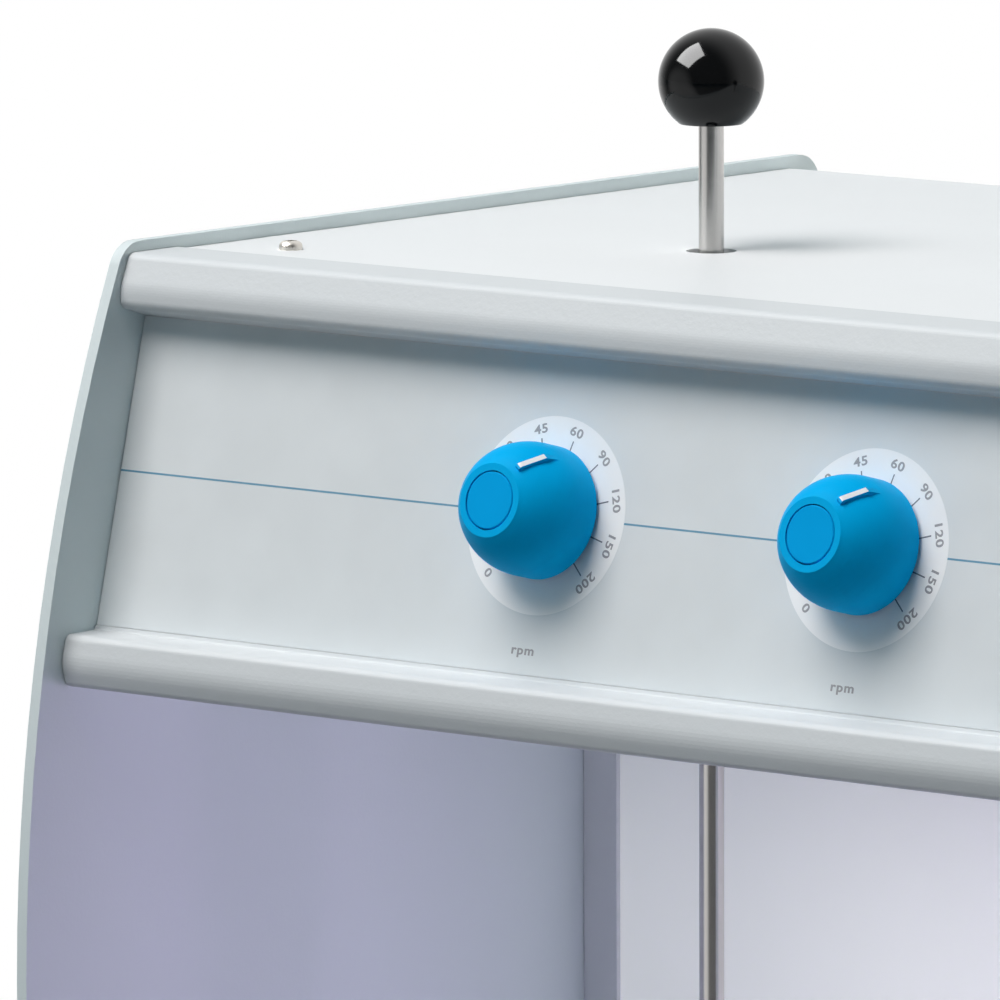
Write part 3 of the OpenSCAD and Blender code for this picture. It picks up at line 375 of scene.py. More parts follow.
class Effects:
    """Builds each shared effect once, as a node group.

    The slow patterns have one scale in every finish, in waves to the Vector's unit.
    """

    FLOW = 90.0
    CLOUDS = 14.0
    SINK_MARKS = 60.0
    SINK_SHARE = 0.5
    DUST_PATCHES = 22.0
    FACING_UP = (0.5, 1.0)

    def __init__(self) -> None:
        """Starts with no group built."""
        self.built: dict[Effect, bpy.types.NodeTree] = {}

    def group(self, effect: Effect) -> bpy.types.NodeTree:
        """The node group of an effect, built at its first use.

        Args:
            effect: The effect.

        Returns:
            Its node group.
        """
        if effect not in self.built:
            makers = {
                Effect.PEBBLE: self._pebble,
                Effect.SKIN: self._skin,
                Effect.GRAIN: self._grain,
                Effect.DUST: self._dust,
            }
            self.built[effect] = makers[effect]()
        return self.built[effect]

    def place(
        self, graph: Graph, effect: Effect, inputs: dict[str | int, object]
    ) -> bpy.types.bpy_prop_collection:
        """Places an effect in a material, with its own values.

        Args:
            graph: The material's graph.
            effect: The effect.
            inputs: A value or an output socket for each of its inputs, by name.

        Returns:
            Its outputs, by name.
        """
        node = graph.add("ShaderNodeGroup")
        node.node_tree = self.group(effect)
        graph.fill(node, inputs)
        return node.outputs

    @staticmethod
    def _start(
        effect: Effect, numbers: dict[str, float], outputs: list[str]
    ) -> tuple[Graph, bpy.types.bpy_prop_collection]:
        """Opens a group with a Vector input, some number inputs and number outputs.

        Args:
            effect: The effect, whose words name the group.
            numbers: Each number input with its usual value.
            outputs: The names of the outputs.

        Returns:
            The graph to fill and the group's inputs, by name.
        """
        tree = bpy.data.node_groups.new(effect.value, "ShaderNodeTree")
        tree.interface.new_socket("Vector", in_out="INPUT", socket_type="NodeSocketVector")
        for name, usual in numbers.items():
            socket = tree.interface.new_socket(name, in_out="INPUT", socket_type="NodeSocketFloat")
            socket.default_value = usual
        for name in outputs:
            tree.interface.new_socket(name, in_out="OUTPUT", socket_type="NodeSocketFloat")
        graph = Graph(tree)
        return graph, graph.add("NodeGroupInput").outputs

    def _pebble(self) -> bpy.types.NodeTree:
        """Fine pebbles of a textured powder coat, with slow waves of flow under them.

        Returns:
            The node group.
        """
        graph, given = self._start(
            Effect.PEBBLE, {"Pebbles": 900.0, "Waves": 0.3}, ["Height", "Mottle"]
        )
        pebbles = graph.noise(given["Vector"], given["Pebbles"], 3.0, 0.6)
        flow = graph.noise(given["Vector"], self.FLOW, 2.0)
        height = graph.math("MULTIPLY_ADD", flow, given["Waves"], pebbles)
        clouds = graph.noise(given["Vector"], self.CLOUDS, 4.0)
        graph.add("NodeGroupOutput", {"Height": height, "Mottle": clouds})
        return graph.tree

    def _skin(self) -> bpy.types.NodeTree:
        """Faint spark-eroded skin of a moulding, with broad sink marks.

        Returns:
            The node group.
        """
        graph, given = self._start(Effect.SKIN, {"Sparks": 2600.0}, ["Height", "Mottle"])
        sparks = graph.noise(given["Vector"], given["Sparks"], 2.0)
        sinks = graph.noise(given["Vector"], self.SINK_MARKS, 2.0)
        height = graph.math("MULTIPLY_ADD", sinks, self.SINK_SHARE, sparks)
        graph.add("NodeGroupOutput", {"Height": height, "Mottle": sinks})
        return graph.tree

    def _grain(self) -> bpy.types.NodeTree:
        """Scratches of ground or rolled metal, long across the Vector's dense direction.

        Returns:
            The node group.
        """
        graph, given = self._start(Effect.GRAIN, {"Lines": 1.0}, ["Height"])
        lines = graph.noise(given["Vector"], given["Lines"], 4.0, 0.65)
        graph.add("NodeGroupOutput", {"Height": lines})
        return graph.tree

    def _dust(self) -> bpy.types.NodeTree:
        """Dust that lies on what faces up, in soft patches.

        Returns:
            The node group.
        """
        graph, given = self._start(Effect.DUST, {"Amount": 0.2}, ["Mask"])
        patches = graph.noise(given["Vector"], self.DUST_PATCHES, 5.0)
        facing = graph.add("ShaderNodeTexCoord").outputs["Normal"]
        lying = graph.remap(graph.split(facing)[2], self.FACING_UP)
        held = graph.math("MULTIPLY", lying, patches)
        graph.add("NodeGroupOutput", {"Mask": graph.math("MULTIPLY", held, given["Amount"])})
        return graph.tree


EFFECTS = Effects()


# ---- Finishes --------------------------------------------------------------


@dataclass(frozen=True)
class Finish:
    """What every finish has: a name and a linear colour.

    In all of them spread and uneven are how far colour and roughness go from their middles,
    depth is the height of the marks in metres, and marks are counted to the metre.
    """

    name: str
    colour: Colour

    def open(self) -> tuple[bpy.types.Material, Graph, Socket]:
        """Starts the material.

        Returns:
            The material, its graph and the Object coordinates.
        """
        material = bpy.data.materials.new(self.name)
        material.use_nodes = True
        graph = Graph(material.node_tree)
        return material, graph, graph.add("ShaderNodeTexCoord").outputs["Object"]

    def shades(self, spread: float) -> tuple[Colour, Colour]:
        """The colour darker by a share of it, and lighter by the same share."""
        shares = (1 - spread, 1 + spread)
        return tuple(tuple(min(1.0, c * share) for c in self.colour) for share in shares)

    @staticmethod
    def close(graph: Graph, inputs: dict[str | int, object]) -> None:
        """Ends a material in a Principled shader with these inputs."""
        shader = graph.add("ShaderNodeBsdfPrincipled", inputs)
        graph.add("ShaderNodeOutputMaterial", {"Surface": shader.outputs[0]})

    @staticmethod
    def relief(graph: Graph, height: Socket, depth: float) -> Socket:
        """The normal of a surface whose height goes from 0 to depth, in metres."""
        inputs = {"Strength": 1.0, "Distance": depth, "Height": height}
        return graph.add("ShaderNodeBump", inputs).outputs["Normal"]


@dataclass(frozen=True)
class PowderCoat(Finish):
    """Textured powder coat on sheet or extrusion; dust is the most of it that dust hides."""

    roughness: float = 0.5
    pebbles: float = 800.0
    depth: float = 6e-5
    dust: float = 0.06
    spread: float = 0.025
    uneven: float = 0.05
    specular: float = 0.2
    dust_colour: Colour = (0.62, 0.60, 0.57)

    def build(self) -> bpy.types.Material:
        """Makes the material.

        Returns:
            The material.
        """
        material, graph, place = self.open()
        coat = EFFECTS.place(graph, Effect.PEBBLE, {"Vector": place, "Pebbles": self.pebbles})
        dust = EFFECTS.place(graph, Effect.DUST, {"Vector": place, "Amount": self.dust})
        paint = graph.mixed(coat["Mottle"], *self.shades(self.spread))
        matt = (self.roughness - self.uneven, self.roughness + self.uneven)
        self.close(
            graph,
            {
                "Base Color": graph.mixed(dust["Mask"], paint, self.dust_colour),
                "Roughness": graph.span(coat["Mottle"], *matt),
                "Specular IOR Level": self.specular,
                "Normal": self.relief(graph, coat["Height"], self.depth),
            },
        )
        return material


@dataclass(frozen=True)
class Moulding(Finish):
    """Moulded plastic or print, from matt to polished; glow is the strength of its own light."""

    roughness: float = 0.4
    sparks: float = 2600.0
    depth: float = 1e-5
    specular: float = 0.5
    glow: float = 0.0
    spread: float = 0.05
    uneven: float = 0.15

    def build(self) -> bpy.types.Material:
        """Makes the material.

        Returns:
            The material.
        """
        material, graph, place = self.open()
        skin = EFFECTS.place(graph, Effect.SKIN, {"Vector": place, "Sparks": self.sparks})
        matt = (self.roughness * (1 - self.uneven), self.roughness * (1 + self.uneven))
        inputs = {
            "Base Color": graph.mixed(skin["Mottle"], *self.shades(self.spread)),
            "Roughness": graph.span(skin["Mottle"], *matt),
            "Specular IOR Level": self.specular,
            "Normal": self.relief(graph, skin["Height"], self.depth),
        }
        if self.glow:
            inputs |= {"Emission Color": (*self.colour, 1.0), "Emission Strength": self.glow}
        self.close(graph, inputs)
        return material


@dataclass(frozen=True)
class Metal(Finish):
    """Bare metal with the marks of how it was worked, stretch counting them along X, Y and Z.

    As turned metal has them, they run round an upright axis where nothing else is said.
    """

    roughness: float = 0.3
    stretch: tuple[float, float, float] = (60.0, 60.0, 5000.0)
    depth: float = 2e-6
    spread: float = 0.08
    uneven: float = 0.3

    def build(self) -> bpy.types.Material:
        """Makes the material.

        Returns:
            The material.
        """
        material, graph, place = self.open()
        along = graph.add("ShaderNodeMapping", {"Vector": place, "Scale": self.stretch})
        grain = EFFECTS.place(graph, Effect.GRAIN, {"Vector": along.outputs[0]})
        bright = (self.roughness * (1 - self.uneven), self.roughness * (1 + self.uneven))
        self.close(
            graph,
            {
                "Base Color": graph.mixed(grain["Height"], *self.shades(self.spread)),
                "Metallic": 1.0,
                "Roughness": graph.span(grain["Height"], *bright),
                "Normal": self.relief(graph, grain["Height"], self.depth),
            },
        )
        return material


@dataclass(frozen=True)
class OpalSheet(Finish):
    """Opal acrylic, lit from behind by two tubes and brightest halfway between them.

    Attributes:
        middle_z: Height of the brightest line, in metres.
        reach: Distance over which the light falls off above and below it, in metres.
        glow: Strength of the light at the brightest line.
        ends: Distances from the sheet's middle between which its ends grow dimmer, in metres.
        end_share: Share of the light that is left at the ends.
        faint: Colour of the light where it is weakest.
        full: Colour of the light at the brightest line.
        roughness: Lowest and highest roughness.
    """

    middle_z: float = 0.138
    reach: float = 0.14
    glow: float = 0.465
    ends: tuple[float, float] = (0.2, 0.31)
    end_share: float = 0.6
    faint: Colour = (0.15, 0.17, 0.18)
    full: Colour = (0.98, 1.0, 0.98)
    sparks: float = 1800.0
    depth: float = 4e-6
    spread: float = 0.02
    roughness: tuple[float, float] = (0.3, 0.4)

    def build(self) -> bpy.types.Material:
        """Makes the material; the light falls off up and down, and towards the ends.

        Returns:
            The material.
        """
        material, graph, place = self.open()
        along, _, height = graph.split(place)
        off = graph.math("ABSOLUTE", graph.math("SUBTRACT", height, self.middle_z))
        level = graph.remap(off, (0.0, self.reach), (1.0, 0.0), Curve.SMOOTHER)
        across = graph.math("ABSOLUTE", along)
        share = graph.remap(across, self.ends, (1.0, self.end_share), Curve.SMOOTH)
        lit = graph.math("MULTIPLY", level, share)
        skin = EFFECTS.place(graph, Effect.SKIN, {"Vector": place, "Sparks": self.sparks})
        self.close(
            graph,
            {
                "Base Color": graph.mixed(skin["Mottle"], *self.shades(self.spread)),
                "Roughness": graph.span(skin["Mottle"], *self.roughness),
                "Emission Color": graph.mixed(lit, self.faint, self.full),
                "Emission Strength": self.glow,
                "Normal": self.relief(graph, skin["Height"], self.depth),
            },
        )
        return material


class Finishes:
    """Every finish of the jar tester, made once."""

    def __init__(self) -> None:
        """Makes all the materials."""
        coat, plastic = PowderCoat, Moulding
        rolled, ground = (40.0, 3000.0, 3000.0), (300.0, 300.0, 9000.0)
        plated = (900.0, 900.0, 900.0)
        black, deep_black = (0.012, 0.012, 0.013), (0.002, 0.0025, 0.003)
        kinds = {
            "side_paint": coat(
                "side_powder_coat", srgb(218, 230, 232), 0.55, pebbles=1100.0, depth=3e-5
            ),
            "cover_paint": coat("cover_powder_coat", srgb(237, 241, 243), dust=0.03),
            "rail_paint": coat("rail_powder_coat", srgb(215, 221, 224), dust=0.03),
            "bay_paint": coat("bay_powder_coat", srgb(224, 228, 232), pebbles=1000.0, depth=4e-5),
            "panel_sheet": Metal("panel_aluminium", (0.72, 0.73, 0.74), 0.4, rolled),
            "overlay_film": plastic(
                "panel_film", srgb(222, 229, 232), 0.5, sparks=3200.0, depth=8e-6, specular=0.3
            ),
            "bare_aluminium": Metal("machined_aluminium", (0.80, 0.81, 0.82), 0.35, rolled),
            "nickelled_steel": Metal("nickelled_steel", (0.66, 0.63, 0.58), 0.3, plated),
            "motor_steel": Metal("plated_motor_steel", (0.55, 0.55, 0.56), 0.42),
            "board_laminate": plastic("board_laminate", (0.03, 0.16, 0.07), 0.45),
            "supply_case": Metal("supply_sheet", (0.55, 0.56, 0.58), 0.4, rolled),
            "black_plastic": plastic("black_moulding", black, 0.4),
            "white_plastic": plastic("white_moulding", (0.80, 0.80, 0.80), 0.4),
            "green_plastic": plastic("green_rocker", (0.01, 0.30, 0.07), 0.2, glow=0.25),
            "opal_acrylic": OpalSheet("opal_acrylic", (0.80, 0.81, 0.84)),
            "lamp_glass": plastic("lamp_tube", (0.90, 0.91, 0.93), 0.25, glow=0.6),
            "foot_rubber": plastic(
                "foot_rubber", (0.015, 0.015, 0.015), 0.8, sparks=1200.0, depth=3e-5
            ),
            "knob_blue": plastic(
                "knob_blue", (0.0, 0.455, 0.91), 0.45, sparks=2800.0, depth=1.4e-5, specular=0.02
            ),
            "cap_blue": plastic(
                "cap_blue", (0.0, 0.405, 0.88), 0.42, sparks=2800.0, depth=1.2e-5, specular=0.02
            ),
            "spindle_steel": Metal("turned_steel", (0.62, 0.61, 0.60), 0.28),
            "gear_plastic": plastic("acetal_white", (0.78, 0.77, 0.70), 0.35),
            "rod_steel": Metal(
                "ground_stainless", (0.55, 0.535, 0.52), 0.22, ground, depth=3e-7, spread=0.03
            ),
            "ball_black": plastic(
                "ball_phenolic", deep_black, 0.08, sparks=900.0, depth=1.5e-6, specular=0.3
            ),
        }
        self.made = {slot: kind.build() for slot, kind in kinds.items()}
        self.white_ink = plastic("white_ink", srgb(240, 245, 248), 0.5).build()
        self.dial_ink = plastic("dial_white_ink", srgb(247, 250, 252), 0.5, sparks=3200.0).build()
        self.grey_ink = plastic("grey_ink", srgb(152, 154, 158), 0.55).build()
        self.tick_ink = plastic("tick_ink", srgb(112, 118, 128), 0.55).build()
        self.line_ink = plastic("blue_line_ink", srgb(84, 146, 176), 0.5).build()

    def dress_nodes(self) -> None:
        """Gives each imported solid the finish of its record's material slot."""
        for part in frame["record"]["subparts"]:
            obj = frame["nodes"][part["node"]]
            obj.data.materials.clear()
            obj.data.materials.append(self.made[part["material_slot"]])
            log.info("%s: %s", part["node"], part["material_slot"])


# ---- The control panel's print ---------------------------------------------


@dataclass
class PanelPlane:
    """The face of the control panel: x along it, y up its slope, z out of it.

    Attributes:
        first_knob: Joint whose axis gives the direction out of the panel.
        knob_lift: How far the knobs' axes lie above the panel's middle line, in metres.
    """

    first_knob: str = "knob_1_turn"
    knob_lift: float = 0.6 * MM

    def __post_init__(self) -> None:
        """Finds the plane's directions and middle from a knob's axis and the film."""
        self.out = np.array(joint(self.first_knob)["axis"], float)
        self.out /= np.linalg.norm(self.out)
        self.up = np.cross(self.out, [1.0, 0.0, 0.0])
        self.up = self.up if self.up[2] > 0 else -self.up
        low, high = (np.array(c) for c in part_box("panel_overlay"))
        self.left, self.right = float(low[0]), float(high[0])
        on_axis = np.array(joint(self.first_knob)["pos_m"], float)
        on_axis += self.out * (self._film_front() - on_axis @ self.out)
        self.middle = on_axis - self.up * self.knob_lift
        self.middle[0] = 0.0

    def _film_front(self) -> float:
        """How far out the film's face lies, along the panel's normal.

        Returns:
            The greatest distance of the film's points along the normal, in metres.
        """
        mesh = frame["nodes"]["panel_overlay"].data
        points = np.empty(len(mesh.vertices) * 3, np.float32)
        mesh.vertices.foreach_get("co", points)
        return float((points.reshape(-1, 3).astype(float) @ self.out).max())

    def place(
        self, shell: Shell, x: float = 0.0, y: float = 0.0, z: float = 0.0, turn: float = 0.0
    ) -> Shell:
        """Lays a shell on the panel: a point goes to middle + x right + y up + z out.

        Args:
            shell: The shell, in the panel's own directions.
            x: Where its origin goes along the panel.
            y: Where its origin goes up the slope.
            z: How far out its origin goes.
            turn: How far it is turned clockwise, in degrees.

        Returns:
            The shell in the object's directions.
        """
        a = math.radians(turn)
        p = shell.points
        across = p[:, 0] * math.cos(a) + p[:, 1] * math.sin(a) + x
        along = -p[:, 0] * math.sin(a) + p[:, 1] * math.cos(a) + y
        world = (
            self.middle
            + across[:, None] * np.array([1.0, 0.0, 0.0])
            + along[:, None] * self.up
            + (p[:, 2] + z)[:, None] * self.out
        )
        return Shell(world, shell.faces)


@dataclass
class Print:
    """What every printed mark has: the panel's face that it is placed by, and the inks."""

    plane: PanelPlane
    inks: Finishes


@dataclass
class SpeedDial(Print):
    """The printed dial round one speed knob, in metres from its axis.

    Attributes:
        number: The knob's number.
        film: Thickness of the disc.
        ink_top: Height of ticks and letters over the panel's face.
        number_space: Space between the numbers' figures, 1 being the font's own.
        unit_space: The same for the unit's letters.
        steps: Points round the disc.
        marks: Each number with its angle clockwise from straight up, in degrees.
    """

    number: int
    disc_r: float = 23.0 * MM
    hole_r: float = 5.2 * MM
    film: float = 0.03 * MM
    ink_top: float = 0.054 * MM
    tick_from: float = 14.0 * MM
    tick_to: float = 18.15 * MM
    tick_w: float = 0.32 * MM
    number_r: float = 20.25 * MM
    letter: float = 2.95 * MM
    number_space: float = 1.1
    unit_space: float = 1.14
    unit_x: float = -0.8 * MM
    unit_y: float = -31.3 * MM
    steps: int = 128
    marks: dict[str, float] = field(
        default_factory=lambda: {
            "0": -135.0, "10": -105.0, "15": -75.0, "30": -45.0, "45": -15.0,
            "60": 15.0, "90": 45.0, "120": 75.0, "150": 105.0, "200": 135.0,
        }
    )

    def __post_init__(self) -> None:
        """Finds the dial's place along the panel from its knob's joint."""
        self.x = joint_x(f"knob_{self.number}_turn")

    def _print(self, shell: Shell, part: str, ink: bpy.types.Material) -> None:
        """Makes a shell on the panel a part of this dial."""
        shell.piece(f"dial_{part}_{self.number}", "housing", "overlay_film", ink)

    def disc(self) -> None:
        """The white disc: a flat ring, carried once round the knob's axis."""
        inner, outer, top = self.hole_r, self.disc_r, self.film
        ring = np.array([[inner, 0], [outer, 0], [outer, top], [inner, top]])
        shell = self.plane.place(turned_ring(ring, self.steps), self.x)
        self._print(shell, "disc", self.inks.dial_ink)

    def ticks(self) -> None:
        """Ten radial marks, each a thin block turned by its own angle."""
        half = self.tick_w / 2
        low = np.array([[-half, self.tick_from, 0.0]])
        high = np.array([[half, self.tick_to, self.ink_top]])
        mark = blocks(low, high)
        turned = [self.plane.place(mark, self.x, turn=a) for a in self.marks.values()]
        self._print(reduce(Shell.joined, turned), "ticks", self.inks.tick_ink)

    def numbers(self) -> None:
        """The numbers, each turned so that its feet point at the knob, and the unit below."""
        unit = lettering("rpm", self.letter, self.unit_space, self.ink_top)
        whole = self.plane.place(unit, self.x + self.unit_x, self.unit_y)
        for words, angle in self.marks.items():
            letters = lettering(words, self.letter, self.number_space, self.ink_top)
            letters.points[:, 1] += self.number_r
            whole = whole.joined(self.plane.place(letters, self.x, turn=angle))
        self._print(whole, "numbers", self.inks.grey_ink)

    def build(self) -> None:
        """Prints the whole dial."""
        self.disc()
        self.ticks()
        self.numbers()


@dataclass
class PanelLine(Print):
    """The thin blue line along the middle of the panel, broken by dials and switches, in metres.

    Attributes:
        width: Width of the line.
        film: Thickness of the line.
        dial_r: How far from a knob's axis the line stops.
        switch_half: How far from a switch's middle the line stops.
    """

    width: float = 0.45 * MM
    film: float = 0.03 * MM
    dial_r: float = 23.0 * MM
    switch_half: float = 11.0 * MM

    def build(self) -> None:
        """Lays a thin block in each gap between the things that break the line."""
        stops = {f"knob_{number}_turn": self.dial_r for number in PLACES}
        stops |= {f"{name}_rocker_tilt": self.switch_half for name in ("lamp", "mains")}
        breaks = sorted((joint_x(name), reach) for name, reach in stops.items())
        starts = [self.plane.left] + [x + r for x, r in breaks]
        ends = [x - r for x, r in breaks] + [self.plane.right]
        half = self.width / 2
        low = np.array([[a, -half, 0.0] for a in starts])
        high = np.array([[b, half, self.film] for b in ends])
        shell = self.plane.place(blocks(low, high))
        shell.piece("panel_line", "housing", "overlay_film", self.inks.line_ink)


@dataclass
class KnobPointer(Print):
    """The white line along the top of a knob's pointer fin, in metres and degrees.

    Attributes:
        number: The knob's number.
        width: Width of the line.
        lift: How far it stands proud of the fin.
        sink: How far it reaches into the fin.
        setting: The angle that the knob points to at rest, clockwise from straight up.
        gap: Gap between knob and panel.
        path: Its way from the flat top down the flank, as radius and height in millimetres.
    """

    number: int
    width: float = 1.3 * MM
    lift: float = 0.05 * MM
    sink: float = 0.3 * MM
    setting: float = 37.0
    gap: float = 0.8 * MM
    path: tuple[tuple[float, float], ...] = ((10.75, 19.4), (11.05, 19.2), (14.8, 13.6))

    def build(self) -> None:
        """Carries a thin flat section along the path: a corner is its point + normal x height."""
        line = np.array(self.path) * MM
        way = np.gradient(line, axis=0)
        way /= np.linalg.norm(way, axis=1)[:, None]
        normal = np.stack([-way[:, 1], way[:, 0]], axis=1)
        normal *= np.where(normal[:, 1] < 0, -1.0, 1.0)[:, None]
        half = self.width / 2
        section = [(-half, -self.sink), (half, -self.sink), (half, self.lift), (-half, self.lift)]
        sides = [(np.full(len(line), across), line + normal * out) for across, out in section]
        points = np.stack([np.column_stack(side) for side in sides], axis=1).reshape(-1, 3)
        first = list(range(len(section)))
        last = [len(points) - 1 - n for n in first]
        shell = Shell(points, grid_quads(len(line), len(section)).tolist() + [first, last])
        body = f"knob_{self.number}"
        x = joint_x(f"{body}_turn")
        shell = self.plane.place(shell, x, self.plane.knob_lift, self.gap, self.setting)
        shell.piece(f"pointer_line_{self.number}", body, "knob_blue", self.inks.white_ink)


@dataclass
class RockerMarks(Print):
    """The bar and ring that mark the two ends of a rocker, in metres and degrees.

    Attributes:
        switch: Name of the switch.
        reach: How far up and down the marks lie from the pivot.
        tilt: How far the rocker is tipped at rest.
        ring_r: Radius of the ring and half the length of the bar.
        pen: Width of the marks' strokes.
        depth: How far the marks stand proud.
        pivot_z: How far out of the panel's face the pivot lies.
        crest: Height over the pivot of the line where the rocker's two faces meet.
        rise: How far a face rises from there to its end.
        half_h: Half the rocker's height.
        steps: Points round the ring.
    """

    switch: str
    reach: float = 7.2 * MM
    tilt: float = 8.0
    ring_r: float = 1.9 * MM
    pen: float = 0.5 * MM
    depth: float = 0.04 * MM
    pivot_z: float = -1.0 * MM
    crest: float = 2.8 * MM
    rise: float = 2.0 * MM
    half_h: float = 11.6 * MM
    steps: int = 48

    def _on_face(self, shell: Shell, side: int) -> Shell:
        """Lays a shell on a sloping face of the rocker, then tips it with the rocker.

        Args:
            shell: The mark, flat, centred on the origin.
            side: 1 for the upper face and -1 for the lower.

        Returns:
            The mark in the object's directions.
        """
        lean = math.atan2(self.rise, self.half_h) * side
        p = shell.points
        y = p[:, 1] + side * self.reach
        middle = self.crest + self.reach * self.rise / self.half_h
        z = p[:, 2] + middle + p[:, 1] * math.tan(lean)
        t = math.radians(-self.tilt)
        up, out = y * math.cos(t) - z * math.sin(t), y * math.sin(t) + z * math.cos(t)
        turned = Shell(np.column_stack([p[:, 0], up, out]), shell.faces)
        return self.plane.place(turned, joint_x(f"{self.switch}_rocker_tilt"), 0.0, self.pivot_z)

    def build(self) -> None:
        """Prints a bar on the end that switches on and a ring on the other."""
        half = self.pen / 2
        corner = np.array([[half, self.ring_r, self.depth]])
        inner, outer, top = self.ring_r - self.pen, self.ring_r, self.depth
        section = np.array([[inner, -top], [outer, -top], [outer, top], [inner, top]])
        bar, ring = blocks(-corner, corner), turned_ring(section, self.steps)
        whole = self._on_face(bar, 1).joined(self._on_face(ring, -1))
        body = f"{self.switch}_rocker"
        whole.piece(f"{body}_marks", body, "white_plastic", self.inks.white_ink)


# ---- Camera, lamps and floor -----------------------------------------------


@dataclass
class PhotoCamera:
    """The camera at the photograph's place, solved from the object's edges.

    Place and clip are in metres, the angles in degrees, lens and sensor in millimetres. The
    azimuth goes to the right of the object's front, and the elevation is how far it looks down.
    """

    place: tuple[float, float, float] = (1.545914, -2.201526, 0.656694)
    azimuth: float = 39.97
    elevation: float = 7.55
    roll: float = -0.182
    lens: float = 431.46
    sensor: float = 36.0
    clip: tuple[float, float] = (0.1, 100.0)

    def build(self) -> None:
        """Makes the camera and sets it as the scene's."""
        a, e, s = (math.radians(x) for x in (self.azimuth, self.elevation, self.roll))
        forward = Vector((-math.sin(a) * math.cos(e), math.cos(a) * math.cos(e), -math.sin(e)))
        right = Vector((math.cos(a), math.sin(a), 0.0))
        up = right.cross(forward)
        rolled_right = right * math.cos(s) + up * math.sin(s)
        rolled_up = up * math.cos(s) - right * math.sin(s)
        turn = Matrix((rolled_right, rolled_up, -forward)).transposed().to_4x4()
        data = bpy.data.cameras.new("photo_camera")
        data.lens, data.sensor_width, data.sensor_fit = self.lens, self.sensor, "HORIZONTAL"
        data.clip_start, data.clip_end = self.clip
        camera = bpy.data.objects.new("photo_camera", data)
        camera.matrix_world = Matrix.Translation(self.place) @ turn
        bpy.context.scene.collection.objects.link(camera)
        bpy.context.scene.camera = camera


def hang_lamp(data: bpy.types.Light, place: Vector, back: Vector) -> bpy.types.Object:
    """Puts an area lamp in the scene, out of the camera's sight.

    Args:
        data: The lamp.
        place: Where it hangs.
        back: The direction that its back faces.

    Returns:
        The lamp's object.
    """
    obj = bpy.data.objects.new(data.name, data)
    obj.location = place
    obj.rotation_mode = "QUATERNION"
    obj.rotation_quaternion = back.to_track_quat("Z", "Y")
    bpy.context.scene.collection.objects.link(obj)
    obj.visible_camera = False
    return obj


@dataclass
class Lamp:
    """A square softbox that points at a spot on the object.

    Attributes:
        toward: The direction from the spot to the lamp, of any length.
        distance: How far from the spot it hangs, in metres.
        size: Length of its side, in metres.
        aim: The spot, in metres.
        window: True for the one that only gloss and metal mirror. The others only light surfaces.
    """

    name: str
    toward: tuple[float, float, float]
    distance: float
    size: float
    watts: float
    colour: Colour = (1.0, 1.0, 1.0)
    aim: tuple[float, float, float] = (0.0, -0.05, 0.25)
    window: bool = False

    def build(self) -> None:
        """Makes the lamp."""
        data = bpy.data.lights.new(self.name, "AREA")
        data.shape, data.size = "SQUARE", self.size
        data.energy, data.color = self.watts, self.colour
        way = Vector(self.toward).normalized()
        obj = hang_lamp(data, Vector(self.aim) + way * self.distance, way)
        obj.visible_diffuse = not self.window
        obj.visible_glossy = self.window


@dataclass
class BayGlow:
    """The cool light that comes through the opal sheet into the bay.

    Attributes:
        upper: Its height, as a share of the sheet's.
        middle: Its width, as a share of the sheet's.
        off: How far in front of the sheet it hangs, in metres.
        below: How far below the sheet's upper edge it starts, in metres.
    """

    watts: float = 0.53
    colour: Colour = (0.84, 0.60, 1.0)
    upper: float = 0.6
    middle: float = 0.34
    off: float = 3 * MM
    below: float = 10 * MM

    def build(self) -> None:
        """Makes a flat lamp just in front of the upper part of the opal sheet."""
        low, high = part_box("light_diffuser")
        data = bpy.data.lights.new("bay_glow", "AREA")
        data.shape = "RECTANGLE"
        data.size = (high.x - low.x) * self.middle
        data.size_y = (high.z - low.z) * self.upper
        data.energy, data.color = self.watts, self.colour
        z = high.z - data.size_y / 2 - self.below
        place = Vector(((low.x + high.x) / 2, low.y - self.off, z))
        obj = hang_lamp(data, place, Vector((0, 1, 0)))
        obj.visible_glossy = False


@dataclass
class Room:
    """How bright the room looks in a mirror: white behind the object, a pale screen front left.

    Attributes:
        behind: Y of the unit direction at which the white starts, and at which it is full.
        screen: Brightness of the screen.
        screen_way: Direction of the screen's middle.
        screen_edge: Cosines off that direction at which the screen starts, and at which it is full.
        dim: Brightness of the rest.
    """

    behind: tuple[float, float] = (-0.35, 0.45)
    screen: float = 0.7
    screen_way: tuple[float, float, float] = (-0.59, -0.80, -0.1)
    screen_edge: tuple[float, float] = (0.78, 0.98)
    dim: float = 0.12

    def share(self, graph: Graph, way: Socket) -> Socket:
        """How far the room in a direction goes from dim to white.

        Args:
            graph: The graph to add to.
            way: The direction from the object, of any length.

        Returns:
            A number from 0 in the dim front of the room to 1 behind the object.
        """
        unit = graph.add("ShaderNodeVectorMath", {0: way}, operation="NORMALIZE").outputs[0]
        behind = graph.remap(graph.split(unit)[1], self.behind, curve=Curve.SMOOTH)
        both = {0: unit, 1: self.screen_way}
        off = graph.add("ShaderNodeVectorMath", both, operation="DOT_PRODUCT").outputs["Value"]
        screen = graph.remap(off, self.screen_edge, (0.0, self.screen), Curve.SMOOTH)
        return graph.math("MAXIMUM", behind, screen)


